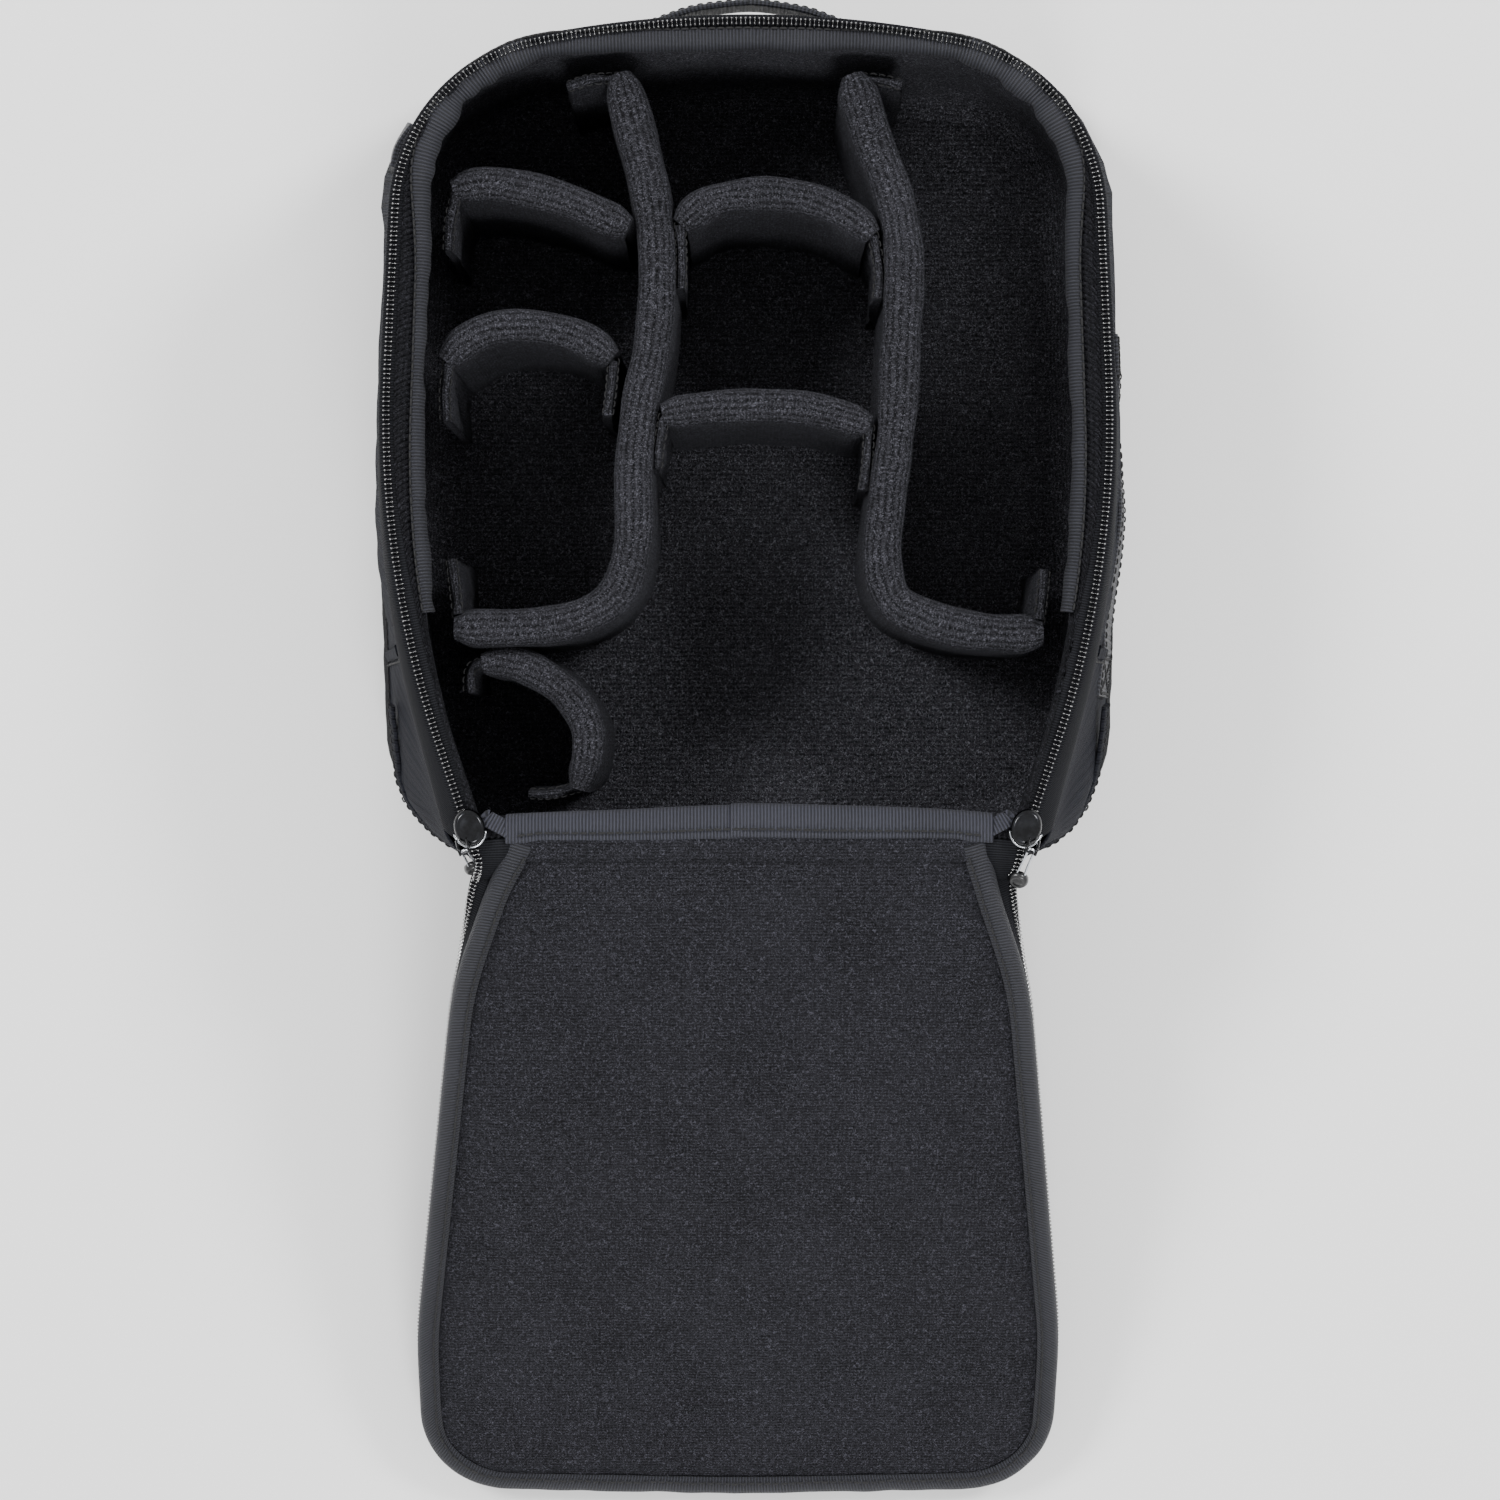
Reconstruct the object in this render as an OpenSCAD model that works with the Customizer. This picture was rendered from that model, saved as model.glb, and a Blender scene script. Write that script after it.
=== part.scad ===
// Camera bag that opens like a book: a padded shell laid on its back, a zip-round lid
// hinged along the bottom of its mouth, and seven lift-out padded dividers.
// Frame: +Z out of the back panel, +Y towards the top grab handle, +X to the side handle.
// The origin is the centre of the back panel's outer face. Millimetres throughout.

/* [Body] */
// Width of the back panel
back_width = 293; // [288:1:300]
// Height of the back panel, bottom edge to top edge
back_height = 330; // [326:1:334]
// Height of the zip line above the back panel's outer face
mouth_z = 124; // [118:1:130]
// Width of the zip line at its widest
mouth_width = 265; // [262:1:268]
// Thickness of the woven outer fabric
fabric = 1.2; // [0.8:0.1:1.5]
// Thickness of the brushed knit lining
lining = 1.5; // [1:0.1:1.6]

/* [Lid] */
// Length of the lid panel from its fold to its free edge
lid_length = 287; // [280:1:288]
// Thickness of the padded lid
lid_thick = 13; // [11:0.5:13]
// Width of the ribbed binding on the lid's inner face
lid_binding_w = 7; // [5:0.5:8]

/* [Dividers] */
// Height of the dividers above the floor lining
divider_h = 98; // [80:1:99]
// Thickness of the two long dividers
long_thick = 12; // [10:0.5:12]
// Thickness of the cross dividers
cross_thick = 9; // [7:0.5:9]
// Thickness of the knit sleeve over each divider's foam
sleeve = 1.2; // [0.8:0.1:1.4]

/* [Zip] */
// Width of one side's row of coil teeth
chain_w = 5.2; // [4.6:0.2:5.4]
// Height of the coil teeth
chain_h = 2.6; // [2.2:0.2:2.8]
// Length of each slider
slider_len = 14; // [12:1:14]
// Length of each pull from its eye to its knob's centre
pull_len = 17; // [14:1:18]

/* [Handles] */
// Width of the grab handles' webbing
webbing_w = 25; // [20:1:30]
// Thickness of the grab handles' webbing
webbing_t = 2.2; // [1.6:0.2:2.4]

/* [Hidden] */

$fn = 48;

// The colours of the bag's materials.
black_weave = [0.10, 0.10, 0.12];
black_knit = [0.07, 0.07, 0.08];
grey_ribbed = [0.17, 0.17, 0.19];
foam_grey = [0.25, 0.25, 0.26];
board_grey = [0.55, 0.55, 0.52];
black_metal = [0.05, 0.05, 0.05];

// Clearances: between layers of one body, and between things that move past each other.
ply_gap = 0.2;
run_gap = 0.5;

// Layers of the back, from the floor up.
panel_t = 1.6;
board_t = 1.5;
pad_t = 8;
panel_top = panel_t + ply_gap;
board_top = panel_top + board_t;
pad_top = board_top + ply_gap + pad_t;
floor_z = pad_top + ply_gap + lining;

// Heights of the wall's levels.
rim_z = 25;
waist_z = 70;
wall_z = mouth_z - 9;
facing_z = wall_z + ply_gap;
waist_share = 0.5;
waist_bulge = 0.6;

// Outlines, each a list of [x, y, corner radius] for the right half, bottom to top.
hw = back_width / 2;
hh = back_height / 2;
mw = mouth_width / 2;
back_half = [[hw - 4.5, -hh + 7, 48], [hw, -20, 600], [hw - 5, hh - 5, 62], [0, hh, 700]];
wall_half = [[mw - 22, -155, 14], [mw + 7.5, -45, 380], [mw - 2, 141, 66], [0, 162.5, 400]];
zip_half = [[mw - 31.5, -153, 4], [mw + 4.5, -45, 380], [mw - 4.5, 139, 66], [0, 161, 400]];
inner_half = [[mw - 28.5, -141, 8], [mw - 4.5, -45, 380], [mw - 11.2, 146.8, 57], [0, 149.3, 300]];
corner_steps = 6;
edge_steps = 3;
per_vertex = corner_steps + edge_steps;

function lerp(a, b, t) = a + (b - a) * t;
function unit(v) = v / norm(v);
function ease(t) = let (s = min(1, max(0, t))) s * s * (3 - 2 * s);
function mirrored(half) = concat(
    half, [for (i = [len(half) - 2:-1:0]) [-half[i].x, half[i].y, half[i].z]]);

// The arc that rounds vertex p between its neighbours a and b.
function corner_arc(a, p, b, r, steps) =
    let (
        u = unit(a - p), w = unit(b - p),
        half = acos(u * w) / 2,
        centre = p + unit(u + w) * r / sin(half),
        from = p + u * r / tan(half) - centre,
        start = atan2(from.y, from.x))
    [for (i = [0:steps]) let (t = start + (180 - 2 * half) * i / steps)
        centre + r * [cos(t), sin(t)]];

// A closed outline, counter-clockwise, with the same number of points for every vertex.
// The last vertex is the middle of the bottom edge, at the height given.
function outline(half, low, steps = corner_steps, edges = edge_steps) =
    let (
        v = concat(mirrored(half), [[0, low, 700]]), m = len(v),
        xy = [for (p = v) [p.x, p.y]],
        arcs = [for (i = [0:m - 1])
            corner_arc(xy[(i + m - 1) % m], xy[i], xy[(i + 1) % m], v[i].z, steps)])
    [for (i = [0:m - 1]) each concat(arcs[i], [for (j = [1:edges - 1])
        lerp(arcs[i][steps], arcs[(i + 1) % m][0], j / edges)])];

// An outline moved inwards by d. A negative d moves it outwards.
function inset(loop, d) =
    let (n = len(loop))
    [for (i = [0:n - 1]) let (t = unit(loop[(i + 1) % n] - loop[(i + n - 1) % n]))
        loop[i] + d * [-t.y, t.x]];
function lift(loop, z) = [for (p = loop) [p.x, p.y, z]];
function between(a, b, t) = [for (i = [0:len(a) - 1]) lerp(a[i], b[i], t)];
function stretch_of(loop, first, last) = [for (i = [first:last]) loop[i % len(loop)]];

back_line = outline(back_half, -hh);
wall_line = outline(wall_half, -156.5);
zip_line = outline(zip_half, -154);
inner_line = outline(inner_half, -142);
waist_line = inset(between(back_line, wall_line, waist_share), -waist_bulge);
inner_floor_line = inset(back_line, 13);
inner_waist_line = inset(between(inner_floor_line, inner_line, waist_share), -waist_bulge);

// Stations of the outlines: where each vertex's arc starts and ends.
function arc_start(vertex) = vertex * per_vertex;
function arc_end(vertex) = vertex * per_vertex + corner_steps;
BOTTOM_RIGHT = 0;
RIGHT = 1;
TOP_RIGHT = 2;
TOP_LEFT = 4;
LEFT = 5;
BOTTOM_LEFT = 6;
around = len(back_line);

// A solid between two grids of points, [level][station]: walls, strips, tapes and bindings.
function strip_quad(a, b, c, d) = [[a, b, c], [a, c, d]];
module band(outer, inner, closed = true) {
    m = len(outer);
    n = len(outer[0]);
    last = closed ? n - 1 : n - 2;
    function o(j, i) = j * n + i % n;
    function k(j, i) = m * n + j * n + i % n;
    sides = [for (j = [0:m - 2]) for (i = [0:last]) each concat(
        strip_quad(o(j, i), o(j + 1, i), o(j + 1, i + 1), o(j, i + 1)),
        strip_quad(k(j, i), k(j, i + 1), k(j + 1, i + 1), k(j + 1, i)))];
    edges = [for (i = [0:last]) each concat(
        strip_quad(o(m - 1, i), k(m - 1, i), k(m - 1, i + 1), o(m - 1, i + 1)),
        strip_quad(o(0, i), o(0, i + 1), k(0, i + 1), k(0, i)))];
    ends = closed ? [] : [for (j = [0:m - 2]) each concat(
        strip_quad(k(j, 0), k(j + 1, 0), o(j + 1, 0), o(j, 0)),
        strip_quad(o(j, n - 1), o(j + 1, n - 1), k(j + 1, n - 1), k(j, n - 1)))];
    polyhedron(points = [for (g = concat(outer, inner)) each g], faces = concat(sides, edges, ends));
}

// The outer wall's face at depth d below the fabric's surface, as three levels.
function wall_levels(d, first, last, foot = rim_z + 2, top = wall_z) = [
    lift(stretch_of(inset(back_line, d), first, last), foot),
    lift(stretch_of(inset(waist_line, d), first, last), waist_z),
    lift(stretch_of(inset(wall_line, d), first, last), top)];
// The lining's inner face moved outwards by d.
function inner_levels(d, first, last, foot = floor_z + ply_gap, top = wall_z) = [
    lift(stretch_of(inset(inner_floor_line, -d), first, last), foot),
    lift(stretch_of(inset(inner_waist_line, -d), first, last), waist_z),
    lift(stretch_of(inset(inner_line, -d), first, last), top)];

// ---- Back ----

module back_panel()
    color(black_weave) linear_extrude(panel_t) polygon(inset(back_line, 10));

module back_rim() {
    inner_face = inset(back_line, 10 - ply_gap);
    color(black_weave) band(
        [lift(inset(back_line, 8), 0.6), lift(inset(back_line, 2.5), 4),
         lift(back_line, 10), lift(back_line, floor_z), lift(back_line, rim_z - 1.5)],
        [lift(inner_face, 0.6), lift(inner_face, 4), lift(inset(back_line, 3), 11),
         lift(inset(back_line, fabric), floor_z), lift(inset(back_line, fabric), rim_z - 1.5)]);
}

module back_piping() {
    outer = inset(back_line, -1.5);
    inner = inset(back_line, fabric);
    color(black_weave) band([lift(outer, rim_z - 1.2), lift(outer, rim_z + 1.2)],
        [lift(inner, rim_z - 1.2), lift(inner, rim_z + 1.2)]);
}

module frame_sheet()
    color(board_grey) translate([0, 0, panel_top])
        linear_extrude(board_t) polygon(inset(back_line, 11));

module back_foam()
    color(foam_grey) translate([0, 0, board_top + ply_gap])
        linear_extrude(pad_t) polygon(inset(back_line, 12));

module floor_lining()
    color(black_knit) translate([0, 0, pad_top + ply_gap])
        linear_extrude(lining) polygon(inset(back_line, 14));

// ---- Walls ----

// The two pieces of woven gusset meet at a seam on each flank.
seam_y = -76;
module gusset_shell() band(wall_levels(0, 0, around - 1), wall_levels(fabric, 0, around - 1));

module gusset_upper()
    color(black_weave) intersection() {
        gusset_shell();
        translate([-back_width, seam_y + ply_gap, 0]) cube([2 * back_width, back_height, 2 * mouth_z]);
    }

module gusset_lower()
    color(black_weave) intersection() {
        gusset_shell();
        translate([-back_width, seam_y - back_height, 0]) cube([2 * back_width, back_height, 2 * mouth_z]);
    }

module wall_foam(first, last)
    color(foam_grey) band(
        wall_levels(fabric + ply_gap, first, last, foot = floor_z + ply_gap),
        inner_levels(lining + ply_gap, first, last), closed = false);

module foam_right() wall_foam(arc_end(BOTTOM_RIGHT), arc_start(TOP_RIGHT));
module foam_top() wall_foam(arc_start(TOP_RIGHT) + 1, arc_end(TOP_LEFT) - 1);
module foam_left() wall_foam(arc_end(TOP_LEFT), arc_start(BOTTOM_LEFT));
module foam_bottom() wall_foam(arc_start(BOTTOM_LEFT) + 1, arc_end(BOTTOM_RIGHT) - 1 + around);

module wall_lining()
    color(black_knit) band(inner_levels(lining, 0, around - 1), inner_levels(0, 0, around - 1));

// A knit strip over the wall's top edge, from the zip tape to the lining.
module rim_facing()
    color(black_knit) band(
        [lift(inset(wall_line, fabric + 1), facing_z), lift(inset(wall_line, fabric + 1), facing_z + fabric)],
        [lift(inner_line, facing_z), lift(inner_line, facing_z + fabric)]);

// Ribbed binding on the mouth's inner edge, from flank to flank over the top.
binding_overhang = 4;
module mouth_binding() {
    first = arc_start(RIGHT) + 2;
    last = arc_end(LEFT) - 2;
    low = facing_z + fabric + ply_gap;
    high = low + 2.4;
    outer = stretch_of(inset(inner_line, -2.5), first, last);
    inner = stretch_of(inset(inner_line, binding_overhang), first, last);
    color(grey_ribbed) band([lift(outer, low), lift(outer, high)], [lift(inner, low), lift(inner, high)],
        closed = false);
}

// ---- Zip on the body ----

// The zip runs on the straight flanks and over the top, and stops at the two bottom corners.
zip_first = arc_end(BOTTOM_RIGHT);
zip_last = arc_start(BOTTOM_LEFT);
chain_low = mouth_z - chain_h;
tape_t = 0.8;

module body_zip_chain() {
    outer = stretch_of(inset(zip_line, -chain_w / 2), zip_first, zip_last);
    inner = stretch_of(inset(zip_line, chain_w / 2), zip_first, zip_last);
    color(black_metal) band(
        [lift(outer, chain_low), lift(outer, mouth_z)], [lift(inner, chain_low), lift(inner, mouth_z)],
        closed = false);
}

module body_zip_tape() {
    foot = stretch_of(wall_line, zip_first, zip_last);
    foot_inner = stretch_of(inset(wall_line, tape_t), zip_first, zip_last);
    head = stretch_of(inset(zip_line, -chain_w / 2 - tape_t - 0.1), zip_first, zip_last);
    head_inner = stretch_of(inset(zip_line, -chain_w / 2 - 0.1), zip_first, zip_last);
    color(black_weave) band(
        [lift(foot, wall_z + ply_gap), lift(head, chain_low - 0.4), lift(head, mouth_z - 1)],
        [lift(foot_inner, wall_z + ply_gap), lift(head_inner, chain_low - 0.4), lift(head_inner, mouth_z - 1)],
        closed = false);
}

// ---- Hinge ----

hinge_y = -148;
hinge_half = 88;
fold_r = 1.8;

module hinge_fold()
    color(black_weave) union() {
        translate([-hinge_half, hinge_y, mouth_z]) rotate([0, 90, 0]) cylinder(r = fold_r, h = 2 * hinge_half);
        translate([-hinge_half, hinge_y - fold_r, facing_z + fabric + ply_gap])
            cube([2 * hinge_half, fabric, mouth_z - facing_z - fabric - ply_gap]);
    }

module hinge_binding()
    color(grey_ribbed) translate([-hinge_half, hinge_y + fold_r + 0.4, mouth_z - 4.4])
        cube([2 * hinge_half, 10.5, 3.2]);

module zip_end_tabs()
    color(grey_ribbed) for (side = [-1, 1])
        translate([side * (hinge_half + 4), hinge_y + 6, mouth_z - 3])
            rotate([0, 0, side * 12]) cube([5.5, 9, 3], center = true);

// ---- Handles ----

// A ribbon along a curved line in the XY plane, as a polygon of even thickness.
function side_points(route, d) =
    let (n = len(route))
    [for (i = [0:n - 1]) let (t = unit(route[min(n - 1, i + 1)] - route[max(0, i - 1)]))
        route[i] + d * [-t.y, t.x]];
function reversed(list) = [for (i = [len(list) - 1:-1:0]) list[i]];
function ribbon(route, thick) = concat(side_points(route, thick / 2), reversed(side_points(route, -thick / 2)));

// Where an outline's right side or top side lies at a given y or x.
function loop_x(loop, y) = max([for (i = [0:len(loop) - 1])
    let (a = loop[i], b = loop[(i + 1) % len(loop)])
    if ((a.y - y) * (b.y - y) <= 0 && a.y != b.y) lerp(a.x, b.x, (y - a.y) / (b.y - a.y))]);
function loop_y(loop, x) = max([for (i = [0:len(loop) - 1])
    let (a = loop[i], b = loop[(i + 1) % len(loop)])
    if ((a.x - x) * (b.x - x) <= 0 && a.x != b.x) lerp(a.y, b.y, (x - a.x) / (b.x - a.x))]);
function wall_share(z) = (z - rim_z - 2) / (waist_z - rim_z - 2);
function wall_x(y, z) = lerp(loop_x(back_line, y), loop_x(waist_line, y), wall_share(z));
function wall_y(x, z) = lerp(loop_y(back_line, x), loop_y(waist_line, x), wall_share(z));

// A grab handle bows out from the wall between its two sewn ends, which lie flat on the wall.
handle_half = 54;
sewn_end = 16;
handle_steps = 24;
handle_low = 44;
handle_high = handle_low + webbing_w;
handle_off = ply_gap + 0.1;
function handle_rise(t, rise) = rise * (1 - t * t) * (2 - t * t) / 2;
function ramp(n) = [for (i = [0:n]) 2 * i / n - 1];

// Along the top wall, between x = from and x = to.
function top_strip(from, to, z, off, rise, n) = [for (t = ramp(n))
    let (x = lerp(from, to, (t + 1) / 2), y = lerp(wall_y(from, z), wall_y(to, z), (t + 1) / 2))
    [x, y + off + handle_rise(t, rise), z]];
module top_webbing(from, to, rise, n)
    band([for (z = [handle_low, handle_high]) reversed(top_strip(from, to, z, handle_off + webbing_t, rise, n))],
        [for (z = [handle_low, handle_high]) reversed(top_strip(from, to, z, handle_off, rise, n))], closed = false);
// Along the right wall, between y = from and y = to.
function side_strip(from, to, z, off, rise, n) = [for (t = ramp(n))
    let (y = lerp(from, to, (t + 1) / 2), x = lerp(wall_x(from, z), wall_x(to, z), (t + 1) / 2))
    [x + off + handle_rise(t, rise), y, z]];
module side_webbing(from, to, rise, n)
    band([for (z = [handle_low, handle_high]) side_strip(from, to, z, handle_off + webbing_t, rise, n)],
        [for (z = [handle_low, handle_high]) side_strip(from, to, z, handle_off, rise, n)], closed = false);

top_rise = 13;
module top_handle() color(black_weave) top_webbing(-handle_half, handle_half, top_rise, handle_steps);
module top_handle_anchors()
    color(black_weave) for (side = [-1, 1])
        let (near = handle_half + ply_gap, far = near + sewn_end)
            top_webbing(side < 0 ? -far : near, side < 0 ? -near : far, 0, 2);

side_rise = 6;
side_handle_y = -24;
module side_handle()
    color(black_weave) side_webbing(side_handle_y - handle_half, side_handle_y + handle_half, side_rise, handle_steps);
module side_handle_anchors()
    color(black_weave) for (side = [-1, 1])
        let (near = handle_half + ply_gap, far = near + sewn_end)
            side_webbing(side_handle_y + (side < 0 ? -far : near), side_handle_y + (side < 0 ? -near : far), 0, 2);

// A short ribbed loop on the left shoulder, held while the zip is pulled.
tab_y = 111;
tab_half = 8.5;
tab_low = 98;
tab_high = 112;
function tab_line(z, off, rise) = [for (t = ramp(8))
    let (y = tab_y - t * tab_half, share = (z - waist_z) / (wall_z - waist_z))
    [-lerp(loop_x(waist_line, y), loop_x(wall_line, y), share) - 0.4 - off - handle_rise(t, rise), y, z]];
module side_tab()
    color(grey_ribbed) band(
        [for (z = [tab_low, tab_high]) tab_line(z, 2, 3.2)], [for (z = [tab_low, tab_high]) tab_line(z, 0, 2.2)],
        closed = false);

// ---- Lid ----
// Built flat with its inner face up: local y runs from the fold to the free edge as -y.

lid_clear = 0.4;
lid_angle = asin((mouth_z - lid_clear) / norm([lid_length, lid_thick])) - atan(lid_thick / lid_length);
module lid_frame() translate([0, hinge_y, mouth_z]) rotate([lid_angle, 0, 0]) children();

lid_start = 6;
lid_bevel_end = 26;
lid_half = [[mw - 8, -lid_length + 2, 34], [mw - 6, -165, 400], [mw - 49.5, 24, 3]];
function lid_outline(steps, edges) =
    let (
        v = concat(lid_half, [for (i = [len(lid_half) - 1:-1:0]) [-lid_half[i].x, lid_half[i].y, lid_half[i].z]],
            [[0, -lid_length, 900]]),
        m = len(v), xy = [for (p = v) [p.x, p.y]],
        arcs = [for (i = [0:m - 1])
            corner_arc(xy[(i + m - 1) % m], xy[i], xy[(i + 1) % m], v[i].z, steps)])
    [for (i = [0:m - 1]) each concat(arcs[i], [for (j = [1:edges - 1])
        lerp(arcs[i][steps], arcs[(i + 1) % m][0], j / edges)])];
lid_line = lid_outline(corner_steps, edge_steps);

// What is cut away on the lid's outer side near the fold, so that it clears the bottom wall.
module lid_bevel(depth = lid_thick)
    rotate([90, 0, 90]) translate([0, 0, -mw]) linear_extrude(2 * mw)
        polygon([[40, 5], [-lid_start, 5], [-lid_start, -1.6], [-lid_bevel_end, -depth - 0.01], [40, -depth - 5]]);

module lid_layer(edge, low, high)
    lid_frame() difference() {
        translate([0, 0, low]) linear_extrude(high - low) polygon(inset(lid_line, edge));
        lid_bevel();
    }

lid_skin = 1.4;
module lid_cover()
    color(black_weave) lid_frame() difference() {
        translate([0, 0, -lid_thick]) linear_extrude(lid_thick - 5.4) polygon(inset(lid_line, 1.2));
        translate([0, 0, -lid_thick + lid_skin]) linear_extrude(lid_thick) polygon(inset(lid_line, 1.2 + lid_skin));
        lid_bevel();
    }

lid_board_low = -lid_thick + lid_skin + ply_gap;
module lid_board()
    color(board_grey) lid_layer(3, lid_board_low, lid_board_low + 1.2);

module lid_foam()
    color(foam_grey) lid_layer(lid_binding_w + 0.5, lid_board_low + 1.4, -lining - ply_gap);

module lid_lining()
    color(black_knit) lid_layer(lid_binding_w + 0.5, -lining, 0);

// The binding goes round the two flanks and the free edge, and ends at the fold.
module lid_binding()
    color(grey_ribbed) lid_frame() difference() {
        translate([0, 0, -5]) linear_extrude(5.6) difference() {
            polygon(lid_line);
            polygon(inset(lid_line, lid_binding_w));
            translate([-mw, -lid_start - 4]) square([2 * mw, 40]);
        }
    }

// Near the fold the lid's half of the zip stands clear of the panel's edge, and then tucks under it.
lid_zip_reach = [for (p = lid_line) ease((-p.y - 8) / 80)];
lid_zip_from = 14;
// A line round the lid's edge from fold to fold: how far outside the edge and how high it runs,
// each given near the fold and far from it.
function lid_zip_path(out_near, high_near, out_far, high_far) =
    let (n = len(lid_line), moved = [for (i = [0:n - 1])
        let (q = inset(lid_line, -lerp(out_near, out_far, lid_zip_reach[i]))[i])
        [q.x, q.y, lerp(high_near, high_far, lid_zip_reach[i])]])
    [for (k = [0:n - 1]) let (p = moved[(k + 3 * per_vertex) % n]) if (p.y < -lid_zip_from) p];

// The teeth lie flat beside the edge near the fold, and turn down against the cover further out.
module lid_zip_chain()
    color(black_metal) lid_frame() band(
        [lid_zip_path(9.2, -4.4, -1, -12.9), lid_zip_path(9.2, -4.4 + chain_h, 1.6, -12.9)],
        [lid_zip_path(9.2 - chain_w, -4.4, -1, -12.9 + chain_w),
         lid_zip_path(9.2 - chain_w, -4.4 + chain_h, 1.6, -12.9 + chain_w)],
        closed = false);

module lid_zip_tape()
    color(black_weave) lid_frame() band(
        [lid_zip_path(3.3, -3.5, 0.1, -7.1), lid_zip_path(3.3, -2.7, 0.9, -7.1)],
        [lid_zip_path(0.15, -3.5, 0.1, -4.6), lid_zip_path(0.15, -2.7, 0.9, -4.6)],
        closed = false);

// ---- Sliders and pulls ----
// A slider's own frame: y up the flank along the chain, x towards the mouth, z away from the tape.

flank = unit([zip_half[1].x - zip_half[0].x, zip_half[1].y - zip_half[0].y]);
flank_angle = atan2(flank.y, flank.x);
slider_from_corner = 9.5;
slider_xy = [zip_half[0].x, zip_half[0].y] + flank * slider_from_corner;
plate_t = 1.2;
plate_z = chain_h / 2 + run_gap;
pivot_y = -slider_len / 2 - 1;
pivot_z = plate_z + plate_t + 2.4;
pull_x = -3;
module slider_frame(side)
    mirror([side < 0 ? 1 : 0, 0, 0]) translate([slider_xy.x, slider_xy.y, mouth_z - chain_h / 2])
        rotate([0, 0, flank_angle - 90]) mirror([1, 0, 0]) children();

module slider_body() {
    length = slider_len;
    outer_edge = -chain_w / 2;
    width = chain_w + 2.4;
    // Plates above and below the chain, and the post that joins them on the mouth's side.
    for (low = [plate_z, -plate_z - plate_t])
        translate([outer_edge, -length / 2, low]) cube([width, length, plate_t]);
    translate([outer_edge + width - 1.6, -length / 2, -plate_z - plate_t])
        cube([1.6, length, 2 * (plate_z + plate_t)]);
    // The bail: two cheeks and the bar that the pull's eye turns on.
    for (side = [-1, 1])
        translate([pull_x + side * 1.9 - 0.5, pivot_y - 1.4, plate_z + plate_t - 0.2]) cube([1, 6, 4]);
    translate([pull_x - 2, pivot_y, pivot_z]) rotate([0, 90, 0]) cylinder(r = 0.8, h = 4);
}

module slider_right() color(black_metal) slider_frame(1) slider_body();
module slider_left() color(black_metal) slider_frame(-1) slider_body();

// The pull, hanging at the given angle below the chain's plane.
knob_r = 3.8;
module pull_body(drop)
    translate([pull_x, pivot_y, pivot_z]) rotate([drop, 0, 0]) union() {
        rotate([0, 90, 0]) difference() {
            cylinder(r = 1.9, h = 1.8, center = true);
            cylinder(r = 1.05, h = 3, center = true);
        }
        translate([-1.2, -pull_len + knob_r - 0.5, -0.6]) cube([2.4, pull_len - knob_r - 1, 1.2]);
        translate([0, -pull_len, -1.3]) cylinder(r = knob_r, h = 2.6);
    }

pull_drop_right = 48;
pull_drop_left = 66;
module pull_right() color(black_metal) slider_frame(1) pull_body(pull_drop_right);
module pull_left() color(black_metal) slider_frame(-1) pull_body(pull_drop_left);

// ---- Dividers ----

// A smooth line through hand-placed points.
route_steps = 4;
function spline(p) =
    let (n = len(p))
    [for (i = [0:n - 2]) let (
        a = p[max(0, i - 1)], b = p[i], c = p[i + 1], d = p[min(n - 1, i + 2)])
        for (j = [0:(i == n - 2 ? route_steps : route_steps - 1)]) let (t = j / route_steps)
            0.5 * (2 * b + (c - a) * t + (2 * a - 5 * b + 4 * c - d) * t * t
                + (3 * b - a - 3 * c + d) * t * t * t)];
// The same line cut short by d at each end.
function trimmed(route, d) =
    let (n = len(route))
    [for (i = [0:n - 1])
        i == 0 ? route[0] + unit(route[1] - route[0]) * d
        : i == n - 1 ? route[n - 1] + unit(route[n - 2] - route[n - 1]) * d : route[i]];

divider_z = floor_z + 0.4;
wing_t = 3;
module divider_sleeve(route, thick, wings, height = divider_h)
    color(black_knit) translate([0, 0, divider_z]) difference() {
        linear_extrude(height) union() {
            polygon(ribbon(route, thick));
            for (wing = wings) polygon(ribbon(wing, wing_t));
        }
        translate([0, 0, -1]) linear_extrude(height - sleeve + 1)
            polygon(ribbon(trimmed(route, sleeve), thick - 2 * sleeve));
    }
module divider_core(route, thick, height = divider_h)
    color(foam_grey) translate([0, 0, divider_z]) linear_extrude(height - sleeve - ply_gap)
        polygon(ribbon(trimmed(route, sleeve + ply_gap), thick - 2 * sleeve - 2 * ply_gap));

// Lines of the dividers in plan, from the first wall they touch to the last.
long_left_route = spline([[-48, 139], [-41.5, 115], [-36, 91], [-34, 66], [-35.5, 40], [-40.5, 14],
    [-43, -10], [-43, -36], [-49, -56], [-65, -66], [-86, -69], [-110.5, -69]]);
long_right_route = spline([[39.5, 139], [47, 115], [56, 90], [59, 66], [57.5, 36], [56, 8],
    [52.5, -20], [50.5, -44], [56, -60], [74, -68], [94, -71], [111, -71]]);
upper_left_route = spline([[-111, 95.5], [-100, 98], [-84, 96], [-66, 91], [-55, 86], [-44.5, 81]]);
lower_left_route = spline([[-114, 31], [-106, 39], [-94, 44], [-78, 44], [-62, 40], [-50.5, 32]]);
upper_middle_route = spline([[-25.5, 82], [-15, 91], [4, 94], [24, 92], [38, 86], [47, 78]]);
lower_middle_route = spline([[-32.5, 11], [-17, 13.5], [4, 14.5], [26, 13], [46, 7]]);
corner_route = spline([[-100.5, -82.5], [-90, -81.5], [-79, -86], [-68, -94], [-61, -105], [-60.5, -117], [-64, -130]]);

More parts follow.
